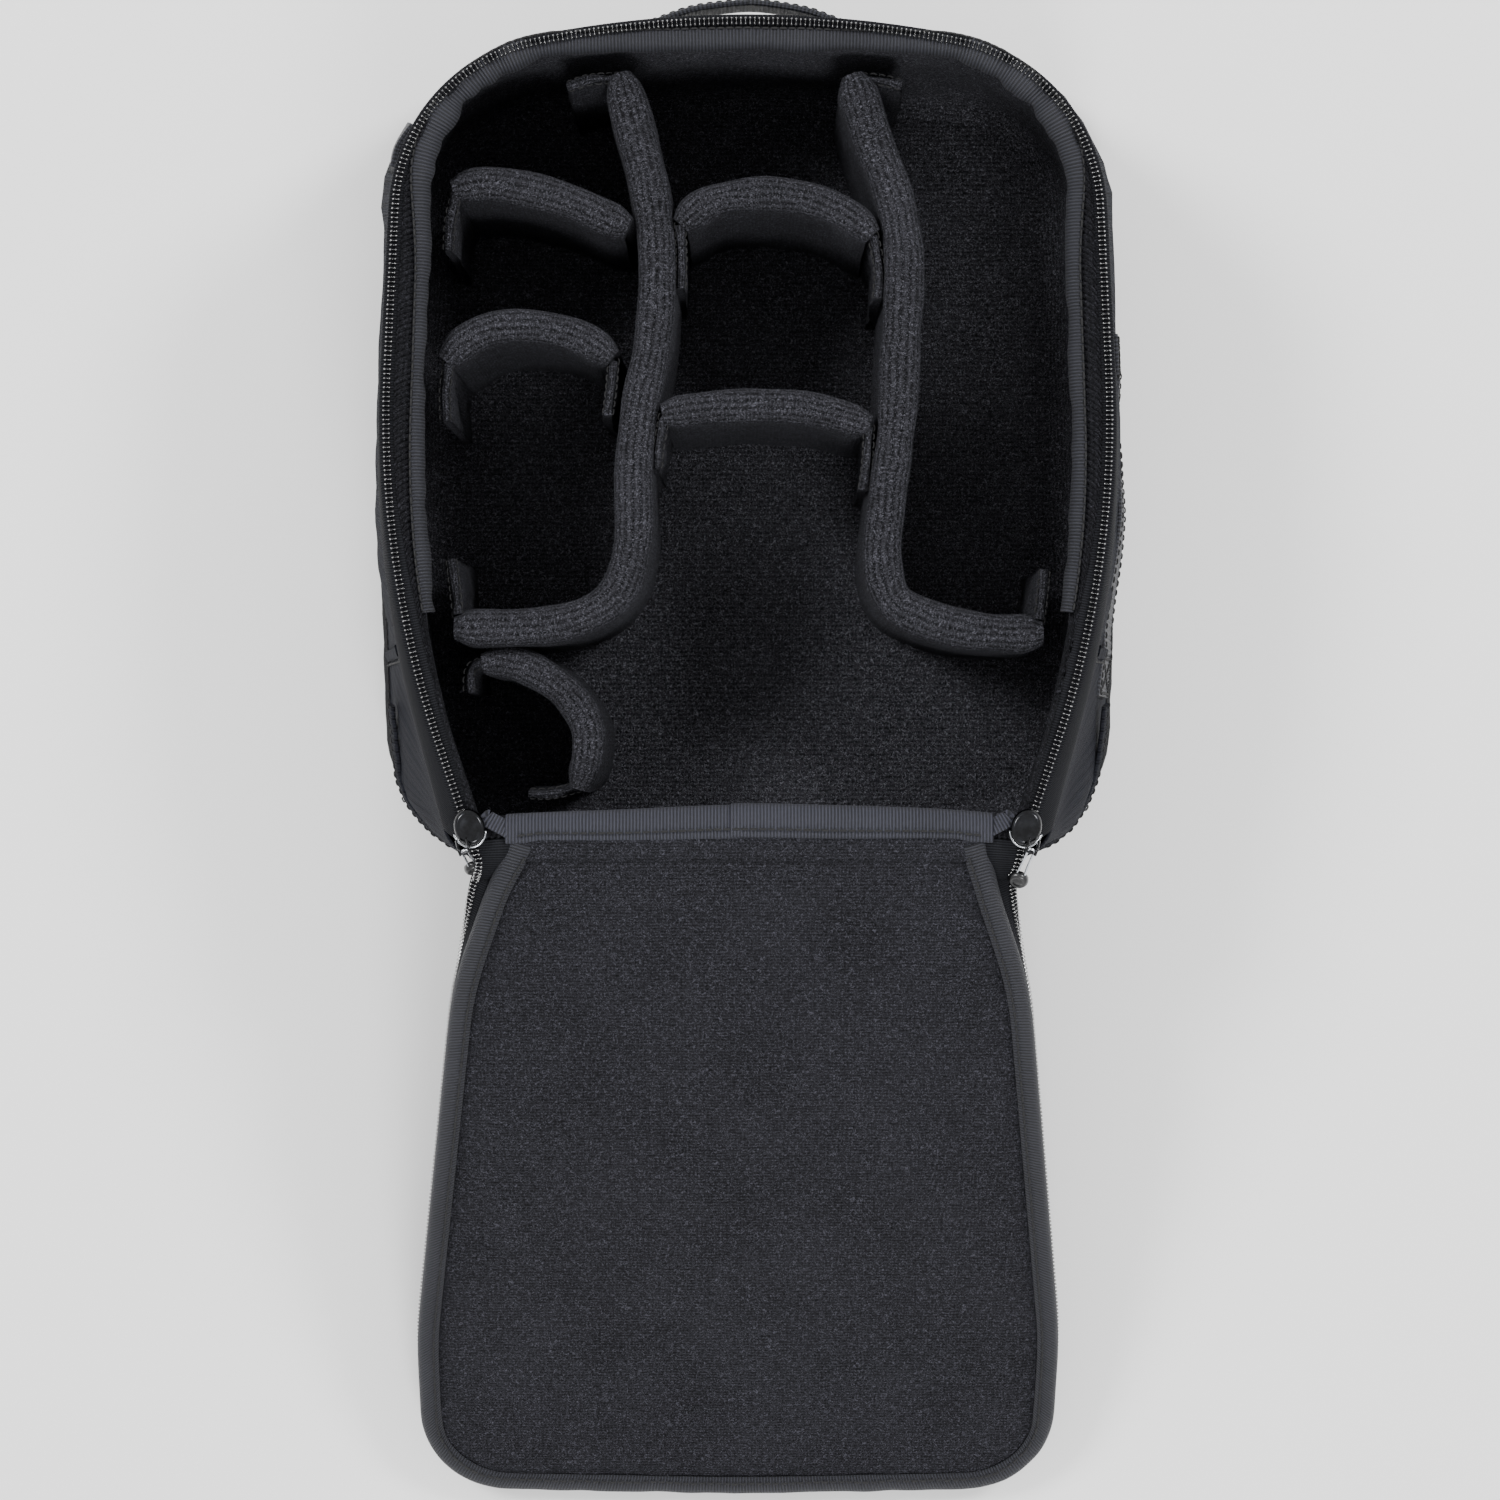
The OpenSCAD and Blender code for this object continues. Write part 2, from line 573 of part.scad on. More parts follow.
// Short flaps of hook tape that fold along the wall or the next divider.
long_left_wings = [[[-49, 137.5], [-60, 137], [-69, 134.5]], [[-109, -64], [-110.5, -52], [-112, -42]]];
long_right_wings = [[[40.5, 137.5], [50, 137], [59, 135.5]], [[109.5, -66], [111, -55], [112, -46]]];
upper_left_wings = [[[-109.5, 94], [-112, 84], [-113, 72]]];
lower_left_wings = [[[-112.5, 30], [-114, 20], [-114, 8]], [[-50.5, 31], [-51.5, 20], [-53, 10]]];
upper_middle_wings = [[[-25.5, 82], [-25, 70], [-25.5, 58]], [[47, 78], [49.5, 66], [49, 54]]];
lower_middle_wings = [[[-31.5, 10], [-33.5, -1], [-34.5, -10]], [[45.5, 6], [45, -6], [43.5, -18]]];
corner_wings = [[[-99, -82], [-105, -84], [-106, -94]], [[-64, -129], [-74, -131.5], [-84, -131.5]]];

module divider_long_left() divider_sleeve(long_left_route, long_thick, long_left_wings);
module divider_long_left_foam() divider_core(long_left_route, long_thick);
module divider_long_right() divider_sleeve(long_right_route, long_thick, long_right_wings);
module divider_long_right_foam() divider_core(long_right_route, long_thick);
module divider_upper_left() divider_sleeve(upper_left_route, cross_thick, upper_left_wings);
module divider_upper_left_foam() divider_core(upper_left_route, cross_thick);
module divider_lower_left() divider_sleeve(lower_left_route, cross_thick, lower_left_wings);
module divider_lower_left_foam() divider_core(lower_left_route, cross_thick);
module divider_upper_middle() divider_sleeve(upper_middle_route, cross_thick, upper_middle_wings);
module divider_upper_middle_foam() divider_core(upper_middle_route, cross_thick);
module divider_lower_middle() divider_sleeve(lower_middle_route, cross_thick, lower_middle_wings);
module divider_lower_middle_foam() divider_core(lower_middle_route, cross_thick);
module divider_corner() divider_sleeve(corner_route, cross_thick, corner_wings, divider_h - 8);
module divider_corner_foam() divider_core(corner_route, cross_thick, divider_h - 8);

back_panel();
back_rim();
back_piping();
frame_sheet();
back_foam();
floor_lining();
gusset_upper();
gusset_lower();
foam_left();
foam_right();
foam_top();
foam_bottom();
wall_lining();
rim_facing();
mouth_binding();
body_zip_tape();
body_zip_chain();
hinge_fold();
hinge_binding();
zip_end_tabs();
top_handle();
top_handle_anchors();
side_handle();
side_handle_anchors();
side_tab();
lid_cover();
lid_board();
lid_foam();
lid_lining();
lid_binding();
lid_zip_tape();
lid_zip_chain();
slider_right();
slider_left();
pull_right();
pull_left();
divider_long_left();
divider_long_left_foam();
divider_long_right();
divider_long_right_foam();
divider_upper_left();
divider_upper_left_foam();
divider_lower_left();
divider_lower_left_foam();
divider_upper_middle();
divider_upper_middle_foam();
divider_lower_middle();
divider_lower_middle_foam();
divider_corner();
divider_corner_foam();
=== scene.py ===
"""A padded camera bag, opened flat on its back, with its lid folded down over the lower edge.

Sizes are in millimetres in the tables and functions below, and are turned to metres where a mesh
is made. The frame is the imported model's: +Z out of the back, +Y to the top grab handle.
"""

import math

import bmesh
import bpy
import numpy as np
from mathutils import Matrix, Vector


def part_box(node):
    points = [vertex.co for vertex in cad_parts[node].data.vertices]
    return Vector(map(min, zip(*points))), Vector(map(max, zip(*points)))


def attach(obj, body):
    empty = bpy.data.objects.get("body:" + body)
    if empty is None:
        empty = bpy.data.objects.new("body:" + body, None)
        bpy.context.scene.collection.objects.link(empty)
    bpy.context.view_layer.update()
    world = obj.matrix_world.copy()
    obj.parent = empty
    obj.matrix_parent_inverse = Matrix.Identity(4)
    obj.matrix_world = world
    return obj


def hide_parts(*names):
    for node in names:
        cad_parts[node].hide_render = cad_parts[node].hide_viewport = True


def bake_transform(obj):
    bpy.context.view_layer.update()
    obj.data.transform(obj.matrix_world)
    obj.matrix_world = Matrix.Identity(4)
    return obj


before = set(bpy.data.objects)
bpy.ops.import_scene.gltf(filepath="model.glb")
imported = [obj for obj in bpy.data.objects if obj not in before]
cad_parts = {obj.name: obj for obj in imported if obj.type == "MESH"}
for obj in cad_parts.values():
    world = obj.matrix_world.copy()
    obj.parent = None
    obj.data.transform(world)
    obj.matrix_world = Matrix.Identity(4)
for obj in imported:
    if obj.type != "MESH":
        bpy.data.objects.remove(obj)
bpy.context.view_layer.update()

MM = 0.001

# ---- Levels and outlines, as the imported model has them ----

MOUTH_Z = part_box("body_zip_chain")[1].z / MM
CHAIN_H = (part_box("body_zip_chain")[1].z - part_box("body_zip_chain")[0].z) / MM
WALL_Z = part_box("wall_lining")[1].z / MM
RIM_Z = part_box("back_rim")[1].z / MM
FLOOR_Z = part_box("floor_lining")[1].z / MM
DIVIDER_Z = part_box("divider_long_left")[0].z / MM
DIVIDER_H = (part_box("divider_long_left")[1].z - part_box("divider_long_left")[0].z) / MM
# The fold: its place along y, half its width, and how steeply the open lid hangs from it.
HINGE_Y, HINGE_HALF = -148.0, 88.0
LID_ANGLE = math.radians(22.888)
# The coil's width, and the spacing of its turns, which are drawn coarse so that they show.
CHAIN_W = 5.2
TOOTH_PITCH = 1.7
# The side walls bow out by a quarter of this at half their height.
WALL_SWELL = 2.4
# The gusset's flank seams along y, and the height of the welt round its lower corners.
SEAM_Y, WELT_Z = -76.0, 50.0

# Right halves of the outlines: x, y and corner radius, from the lower corner to the top middle.
BACK_HALF = [(142, -158, 57), (146.5, -20, 600), (141.5, 160, 62), (0, 165, 700)]
WALL_HALF = [(110.5, -155, 14), (140, -45, 380), (130.5, 141, 66), (0, 162.5, 400)]
ZIP_HALF = [(101, -153, 4), (137, -45, 380), (128, 139, 66), (0, 161, 400)]
INNER_HALF = [(104, -141, 8), (128, -45, 380), (121.3, 146.8, 57), (0, 149.3, 300)]
LID_HALF = [(126.5, -289, 36), (127.3, -218, 200), (109, -62, 160), (80, 24, 3)]
# Points on each rounded corner and on the straight after it.
ARC_STEPS, EDGE_STEPS = 16, 12
PER_VERTEX = ARC_STEPS + EDGE_STEPS
# Where the zip starts and ends on its outline, and the ribbon on the mouth's inner one.
ZIP_FIRST, ZIP_LAST = ARC_STEPS, 6 * PER_VERTEX
BINDING_FIRST, BINDING_LAST = PER_VERTEX + 5, 5 * PER_VERTEX + ARC_STEPS - 5


def unit(v):
    v = np.asarray(v, float)
    return v / np.maximum(np.linalg.norm(v, axis=-1, keepdims=True), 1e-12)


def rounded_outline(corners):
    """A closed counter-clockwise loop through [x, y, radius] corners, each rounded by an arc."""
    points = np.array([c[:2] for c in corners], float)
    arcs = []
    for i, (p, (_, _, r)) in enumerate(zip(points, corners)):
        u, w = unit(points[i - 1] - p), unit(points[(i + 1) % len(points)] - p)
        half = math.acos(float(u @ w)) / 2
        centre = p + unit(u + w) * r / math.sin(half)
        first = p + u * r / math.tan(half) - centre
        start = math.atan2(first[1], first[0])
        turn = start + (math.pi - 2 * half) * np.linspace(0, 1, ARC_STEPS + 1)
        arcs.append(centre + r * np.stack([np.cos(turn), np.sin(turn)], 1))
    loop = []
    for i, arc in enumerate(arcs):
        share = np.arange(1, EDGE_STEPS)[:, None] / EDGE_STEPS
        loop += [arc, arc[-1] + share * (arcs[(i + 1) % len(arcs)][0] - arc[-1])]
    return np.concatenate(loop)


def bag_outline(half, low):
    return rounded_outline(half + [(-x, y, r) for x, y, r in half[-2::-1]] + [(0, low, 700)])


def inset(loop, d):
    """A closed loop moved inwards by d, or outwards by -d."""
    t = unit(np.roll(loop, -1, 0) - np.roll(loop, 1, 0))
    return loop + np.asarray(d).reshape(-1, 1) * np.stack([-t[:, 1], t[:, 0]], 1)


def lift(loop, z):
    return np.column_stack([loop, np.broadcast_to(z, len(loop))])


def mix(a, b, t):
    return a + (b - a) * t


def back_to_start(loop):
    return np.concatenate([loop, loop[:1]])


def lengths(path):
    """How far along an open path each of its points is."""
    return np.concatenate([[0], np.cumsum(np.linalg.norm(np.diff(path, axis=0), axis=1))])


def resample(path, step):
    """The same open path with points a given step apart."""
    path = np.asarray(path, float)
    s = lengths(path)
    at = np.linspace(0, s[-1], max(3, int(round(s[-1] / step)) + 1))
    return np.stack([np.interp(at, s, path[:, k]) for k in range(path.shape[1])], 1)


def divided(path, count):
    """The same open path as count evenly spaced points."""
    return resample(path, lengths(path)[-1] / (count - 1))[:count]


def spline(points, step=3.0):
    """A smooth path through given points."""
    p = np.asarray(points, float)
    p = np.concatenate([[p[0]], p, [p[-1]]])
    t = np.linspace(0, 1, 12, endpoint=False)[:, None]
    made = [
        0.5 * (2 * b + (c - a) * t + (2 * a - 5 * b + 4 * c - d) * t**2 + (3 * b - a - 3 * c + d) * t**3)
        for a, b, c, d in zip(p, p[1:], p[2:], p[3:])
    ]
    return resample(np.concatenate(made + [p[-1:]]), step)


BACK = bag_outline(BACK_HALF, -165)
WALL = bag_outline(WALL_HALF, -156.5)
ZIP = bag_outline(ZIP_HALF, -154)
INNER = bag_outline(INNER_HALF, -142)
INNER_FLOOR = inset(BACK, 13)
LID = rounded_outline(LID_HALF + [(-x, y, r) for x, y, r in LID_HALF[::-1]] + [(0, -292, 900)])


def ripple(u, v, seed, size):
    """A smooth uneven field between about -1 and 1, for cloth that never lies quite flat."""
    rng = np.random.default_rng(seed)
    field = 0.0
    for _ in range(6):
        a, f = rng.uniform(0, math.tau), rng.uniform(0.6, 1.9) * math.tau / size
        field = field + np.sin(f * (u * math.cos(a) + v * math.sin(a)) + rng.uniform(0, math.tau))
    return field / 3.2


def outer_wall(z):
    """The bag's outer wall at height z."""
    t = (z - RIM_Z) / (WALL_Z - RIM_Z)
    return lift(inset(mix(BACK, WALL, t), -WALL_SWELL * t * (1 - t)), z)


def inner_wall(z, d):
    """The lining's face at height z, d inside the wall."""
    t = np.clip((z - FLOOR_Z) / (WALL_Z - FLOOR_Z), 0, 1)
    return lift(inset(mix(INNER_FLOOR, INNER, t), d - WALL_SWELL * t * (1 - t)), z)


def lid_point(x, y, h):
    """Points of the lid: x across, y from the fold (negative), h above its inner face.

    The soft lid lies a little askew, so its free end is a few millimetres to the left, and it
    flattens where it rests on the floor.
    """
    x, y, h = np.broadcast_arrays(np.asarray(x, float), y, h)
    c, s = math.cos(LID_ANGLE), math.sin(LID_ANGLE)
    askew = 0.009 * np.minimum(y, 0) - 2.0 * smooth(-y / 28)
    return np.stack([x + askew, HINGE_Y + y * c - h * s, np.maximum(MOUTH_Z + y * s + h * c, 0.7)], -1)


def smooth(t):
    """A soft step from 0 to 1."""
    t = np.clip(t, 0, 1)
    return t * t * (3 - 2 * t)


def right_half(loop):
    """The points of a closed loop right of the middle, from its low end up."""
    right = loop[loop[:, 0] > 0]
    return right[np.argsort(right[:, 1])]


SIDES = {"left": -1, "right": 1}


# ---- Meshes ----


def build(name, points, faces, uvs=None, material=None):
    """A mesh object at the origin from points in millimetres, with a UV map in metres."""
    mesh = bpy.data.meshes.new(name)
    mesh.from_pydata((np.asarray(points, float) * MM).tolist(), [], [list(map(int, f)) for f in faces])
    mesh.polygons.foreach_set("use_smooth", [True] * len(mesh.polygons))
    if uvs is not None:
        layer = mesh.uv_layers.new(name="cloth")
        layer.data.foreach_set("uv", (np.concatenate(uvs) * MM).astype(np.float32).ravel())
    if material:
        mesh.materials.append(material)
    mesh.validate()
    obj = bpy.data.objects.new(name, mesh)
    bpy.context.scene.collection.objects.link(obj)
    return obj


def grid_faces(u, v, closed_u):
    """Quads of a grid whose rows run along u, with the cloth coordinates of each corner."""
    m, n = len(v), len(u) - (1 if closed_u else 0)
    faces, uvs = [], []
    for j in range(m - 1):
        for i in range(len(u) - 1):
            k = (i + 1) % n
            faces.append((j * n + i, j * n + k, (j + 1) * n + k, (j + 1) * n + i))
            uvs.append([(u[i], v[j]), (u[i + 1], v[j]), (u[i + 1], v[j + 1]), (u[i], v[j + 1])])
    return faces, uvs


def outwards(obj):
    """Turns the faces of a closed form outwards."""
    mesh = bmesh.new()
    mesh.from_mesh(obj.data)
    bmesh.ops.recalc_face_normals(mesh, faces=mesh.faces)
    mesh.to_mesh(obj.data)
    mesh.free()
    return obj


def lay_flat(obj, tilt=0.0):
    """Lays the cloth coordinates of upward faces straight across x and up y, turned by tilt about x."""
    mesh, layer = obj.data, obj.data.uv_layers["cloth"]
    c, s = math.cos(tilt), math.sin(tilt)
    for face in mesh.polygons:
        if abs(face.normal.z) > 0.6:
            for i in face.loop_indices:
                p = mesh.vertices[mesh.loops[i].vertex_index].co
                layer.data[i].uv = (p.x, p.y * c + p.z * s)


def thicken(obj, thickness, offset=-1.0):
    """Gives a sheet its thickness in millimetres, away from its face, or to both sides at offset 0."""
    thick = obj.modifiers.new("thickness", "SOLIDIFY")
    thick.thickness, thick.offset = thickness * MM, offset


def surface(name, rows, material, closed=False, thickness=0.0, offset=-1.0):
    """A sheet through rows of points, thickened away from its face."""
    rows = np.asarray(rows, float)
    middle = rows[len(rows) // 2]
    u = lengths(back_to_start(middle) if closed else middle)
    across = np.linalg.norm(np.diff(rows, axis=0), axis=2).mean(1)
    v = np.concatenate([[0], np.cumsum(across)])
    faces, uvs = grid_faces(u, v, closed)
    obj = build(name, rows.reshape(-1, 3), faces, [np.array(c) for c in uvs], material)
    if thickness:
        thicken(obj, thickness, offset)
    return obj


def profile(width, height, radius, step, arc=4):
    """A rounded rectangle, counter-clockwise from the bottom middle, the same on both sides."""
    w, h, r = width / 2, height / 2, min(radius, width / 2 - 0.01, height / 2 - 0.01)
    flat = np.linspace(0, w - r, max(2, int((w - r) / step) + 2))
    flat = (flat[1:] + flat[:-1]) / 2
    side = np.linspace(-h + r, h - r, max(2, int((height - 2 * r) / step) + 1))[1:-1]
    turn = np.linspace(-math.pi / 2, 0, arc + 1)
    right = [(x, -h) for x in flat]
    right += [(w - r + r * math.cos(a), -h + r + r * math.sin(a)) for a in turn]
    right += [(w, y) for y in side]
    right += [(w - r + r * math.cos(a + math.pi / 2), h - r + r * math.sin(a + math.pi / 2)) for a in turn]
    right += [(x, h) for x in flat[::-1]]
    right = np.array(right)
    return np.concatenate([right, right[::-1] * [-1, 1]])


def sweep(name, path, up, shape, material, closed=False):
    """A closed form with the cross-section shape (across, up) drawn along a path."""
    path = np.asarray(path, float)
    up = np.broadcast_to(np.asarray(up, float), path.shape)
    if closed:
        tangent = unit(np.roll(path, -1, 0) - np.roll(path, 1, 0))
    else:
        tangent = unit(np.gradient(path, axis=0))
    across = unit(np.cross(tangent, up))
    up = np.cross(across, tangent)
    shape = np.broadcast_to(shape, (len(path),) + np.shape(shape)[-2:])
    rings = path[:, None] + across[:, None] * shape[..., :1] + up[:, None] * shape[..., 1:]
    n, k = rings.shape[:2]
    u = lengths(back_to_start(path) if closed else path)
    v = lengths(back_to_start(shape[0]))
    faces, uvs = [], []
    for i in range(len(u) - 1):
        j = (i + 1) % n
        for a in range(k):
            b = (a + 1) % k
            faces.append((i * k + a, j * k + a, j * k + b, i * k + b))
            uvs.append(np.array([(u[i], v[a]), (u[i + 1], v[a]), (u[i + 1], v[a + 1]), (u[i], v[a + 1])]))
    if not closed:
        for i, flip in ((0, True), (n - 1, False)):
            for a in range(k // 2 - 1):
                b = k - 1 - a
                ring = [i * k + a, i * k + a + 1, i * k + b - 1, i * k + b]
                corner = [shape[i][q - i * k] + [u[i], 0] for q in ring]
                faces.append(ring[::-1] if flip else ring)
                uvs.append(np.array(corner[::-1] if flip else corner))
    return build(name, rings.reshape(-1, 3), faces, uvs, material)


def soften(obj):
    """Rounds a piece off with one level of subdivision."""
    sub = obj.modifiers.new("smooth", "SUBSURF")
    sub.levels = sub.render_levels = 1
    return obj


def settle(obj, body, slot=None, replaces=()):
    """Puts a finished piece on its body and hides the plain solids it stands for; slot, its finish, is not
    used.
    """
    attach(obj, body)
    if replaces:
        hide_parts(*replaces)
    return obj


def joined(name, parts):
    """Several meshes made into one piece."""
    bpy.ops.object.select_all(action="DESELECT")
    for part in parts:
        part.select_set(True)
    for part in parts:
        bpy.context.view_layer.objects.active = part
        for modifier in list(part.modifiers):
            bpy.ops.object.modifier_apply(modifier=modifier.name)
    bpy.context.view_layer.objects.active = parts[0]
    bpy.ops.object.join()
    parts[0].name = parts[0].data.name = name
    return parts[0]


# ---- Materials ----


def linear(code):
    """A hex sRGB colour as linear RGBA."""
    srgb = [int(code[i : i + 2], 16) / 255 for i in (1, 3, 5)]
    return tuple(c / 12.92 if c <= 0.04045 else ((c + 0.055) / 1.055) ** 2.4 for c in srgb) + (1.0,)


def add(tree, kind, links=None, **settings):
    """Adds a node, sets it up, and links or sets its inputs."""
    node = tree.nodes.new(kind)
    for key, value in settings.items():
        setattr(node, key, value)
    for key, value in (links or {}).items():
        if isinstance(value, bpy.types.NodeSocket):
            tree.links.new(value, node.inputs[key])
        else:
            node.inputs[key].default_value = value
    return node


def blank(name, **surface_values):
    """A material with a Principled shader whose constant values are set on its own sockets."""
    material = bpy.data.materials.new(name)
    material.use_nodes = True
    shader = material.node_tree.nodes["Principled BSDF"]
    for key, value in surface_values.items():
        shader.inputs[key.replace("_", " ")].default_value = value
    return material, material.node_tree, shader


def bands(pitch):
    """The scale of a Wave texture whose bands repeat every pitch millimetres."""
    return math.pi / 10 / (pitch * MM)


def ramp(node, *stops):
    """Sets a colour ramp's stops, each a place and a hex colour."""
    elements = node.color_ramp.elements
    while len(elements) < len(stops):
        elements.new(0.5)
    for element, (place, code) in zip(elements, stops):
        element.position, element.color = place, linear(code)
    return node.outputs["Color"]


def knit(name, deep, face, loop_highlight, wale, course, depth, fuzz, rib, curl):
    """Brushed polyester knit: rows of loops with a haze of loose fibres. Pale specks mixed into the colour
    are painted highlights, where loops would catch the light, and the colour darkens in the low spots
    of the rows as painted shade, with random patches of tone as well.

    wale and course are the loops' spacing across and along the cloth in millimetres, rib is how
    much the rows show through the pile, and curl is the size of the painted highlight specks.
    """
    material, t, shader = blank(name, Roughness=0.95, Sheen_Weight=0.05, Sheen_Roughness=0.6)
    shader.inputs["Specular IOR Level"].default_value = 0.12
    shader.inputs["Sheen Tint"].default_value = linear("#8b8d98")
    uv = add(t, "ShaderNodeUVMap", uv_map="cloth").outputs["UV"]
    place = add(t, "ShaderNodeTexCoord").outputs["Object"]
    drift = add(t, "ShaderNodeTexNoise", {"Vector": place, "Scale": 1 / (6 * MM), "Detail": 2.0})
    pull = add(t, "ShaderNodeVectorMath", {0: drift.outputs["Color"], 1: (0.5, 0.5, 0.5)},
               operation="SUBTRACT")
    wander = add(t, "ShaderNodeVectorMath", {0: pull.outputs[0], "Scale": 0.8 * MM}, operation="SCALE")
    cloth = add(t, "ShaderNodeVectorMath", {0: uv, 1: wander.outputs[0]}, operation="ADD").outputs[0]
    rows = add(
        t, "ShaderNodeTexWave", {"Vector": cloth, "Scale": bands(wale), "Distortion": 1.4, "Detail": 2.0},
        bands_direction="Y",
    )
    loops = add(
        t, "ShaderNodeTexWave", {"Vector": cloth, "Scale": bands(course), "Distortion": 1.6, "Detail": 2.0,
                                 "Detail Scale": 1.4},
        bands_direction="X",
    )
    stitch = add(t, "ShaderNodeMath", {0: loops.outputs["Fac"], 1: 0.55 * rib, 2: 0.45 * rib},
                 operation="MULTIPLY_ADD")
    relief = add(t, "ShaderNodeMath", {0: rows.outputs["Fac"], 1: stitch.outputs[0]}, operation="MULTIPLY")
    pile = add(
        t, "ShaderNodeTexNoise", {"Vector": place, "Scale": 1 / (fuzz * MM), "Detail": 4.0,
                                  "Roughness": 0.7}
    )
    height = add(t, "ShaderNodeMath", {0: pile.outputs["Fac"], 1: 2.2 - rib, 2: relief.outputs[0]},
                 operation="MULTIPLY_ADD")
    patch = add(t, "ShaderNodeTexNoise", {"Vector": place, "Scale": 1 / (34 * MM), "Detail": 3.0})
    tone = add(t, "ShaderNodeMath", {0: patch.outputs["Fac"], 1: 0.35, 2: height.outputs[0]},
               operation="MULTIPLY_ADD")
    scaled = add(t, "ShaderNodeMapRange",
                 {"Value": tone.outputs[0], "From Min": 1.0 - 0.2 * rib, "From Max": 1.75})
    # The colour is dark in the low spots of the rows and light on the raised loops, painted shade, with
    # random patches of tone.
    base = ramp(add(t, "ShaderNodeValToRGB", {"Fac": scaled.outputs[0]}), (0.0, deep), (1.0, face))
    # Pale specks mixed into the colour are painted highlights, where loops would catch the light.
    highlight_noise = add(
        t, "ShaderNodeTexNoise", {"Vector": place, "Scale": 1 / (curl * MM), "Detail": 2.0,
                                  "Distortion": 1.8}
    )
    glint = add(t, "ShaderNodeMapRange", {"Value": highlight_noise.outputs["Fac"], "From Min": 0.54,
                                          "From Max": 0.68})
    share = add(t, "ShaderNodeMath", {0: glint.outputs[0], 1: 0.7}, operation="MULTIPLY")
    colour = add(t, "ShaderNodeMix", {"Factor": share.outputs[0], "A": base, "B": linear(loop_highlight)},
                 data_type="RGBA")
    t.links.new(colour.outputs["Result"], shader.inputs["Base Color"])
    bump = add(t, "ShaderNodeBump", {"Height": height.outputs[0], "Strength": 0.85, "Distance": depth * MM})
    t.links.new(bump.outputs["Normal"], shader.inputs["Normal"])
    return material


def ribbed(name, deep, face, pitch, depth, cross=0.45, sheen=0.1, rough=0.62, gloss=0.25, folds=0.0):
    """Ribbed narrow fabric: fine cords of yarn side by side, crossed by a much finer binding yarn.

    pitch and cross are the spacing of the cords and of the binding yarn in millimetres.
    """
    material, t, shader = blank(name, Roughness=rough, Sheen_Weight=sheen, Sheen_Roughness=0.5)
    shader.inputs["Specular IOR Level"].default_value = gloss
    uv = add(t, "ShaderNodeUVMap", uv_map="cloth").outputs["UV"]
    place = add(t, "ShaderNodeTexCoord").outputs["Object"]
    cord = add(
        t, "ShaderNodeTexWave", {"Vector": uv, "Scale": bands(pitch), "Distortion": 0.35, "Detail": 1.0},
        bands_direction="X",
    )
    weft = add(
        t, "ShaderNodeTexWave", {"Vector": uv, "Scale": bands(cross), "Distortion": 0.3, "Detail": 1.0},
        bands_direction="Y",
    )
    weave = add(t, "ShaderNodeMath", {0: weft.outputs["Fac"], 1: 0.3, 2: cord.outputs["Fac"]},
                operation="MULTIPLY_ADD")
    yarn = add(t, "ShaderNodeTexNoise", {"Vector": place, "Scale": 1 / (0.9 * MM), "Detail": 3.0})
    height = add(t, "ShaderNodeMath", {0: yarn.outputs["Fac"], 1: 0.45, 2: weave.outputs[0]},
                 operation="MULTIPLY_ADD")
    if folds:
        # Soft folds a few millimetres apart, where the wall is eased round a curve.
        #         They shape the bump and also darken the colour in their troughs, which is painted shade.
        fold = add(
            t, "ShaderNodeTexWave", {"Vector": uv, "Scale": bands(4.6), "Distortion": 2.2, "Detail": 1.5,
                                     "Detail Scale": 0.6},
            bands_direction="X",
        )
        height = add(t, "ShaderNodeMath", {0: fold.outputs["Fac"], 1: folds, 2: height.outputs[0]},
                     operation="MULTIPLY_ADD")
    patch = add(t, "ShaderNodeTexNoise", {"Vector": place, "Scale": 1 / (28 * MM), "Detail": 2.0})
    tone = add(t, "ShaderNodeMath", {0: patch.outputs["Fac"], 1: 0.4, 2: height.outputs[0]},
               operation="MULTIPLY_ADD")
    # The colour is dark in the grooves between cords and light on their tops, painted shade, with random
    # patches of tone.
    scaled = add(t, "ShaderNodeMapRange", {"Value": tone.outputs[0], "From Min": 0.5, "From Max": 1.4})
    colour = ramp(add(t, "ShaderNodeValToRGB", {"Fac": scaled.outputs[0]}), (0.0, deep), (1.0, face))
    t.links.new(colour, shader.inputs["Base Color"])
    bump = add(t, "ShaderNodeBump", {"Height": height.outputs[0], "Strength": 0.7, "Distance": depth * MM})
    t.links.new(bump.outputs["Normal"], shader.inputs["Normal"])
    return material


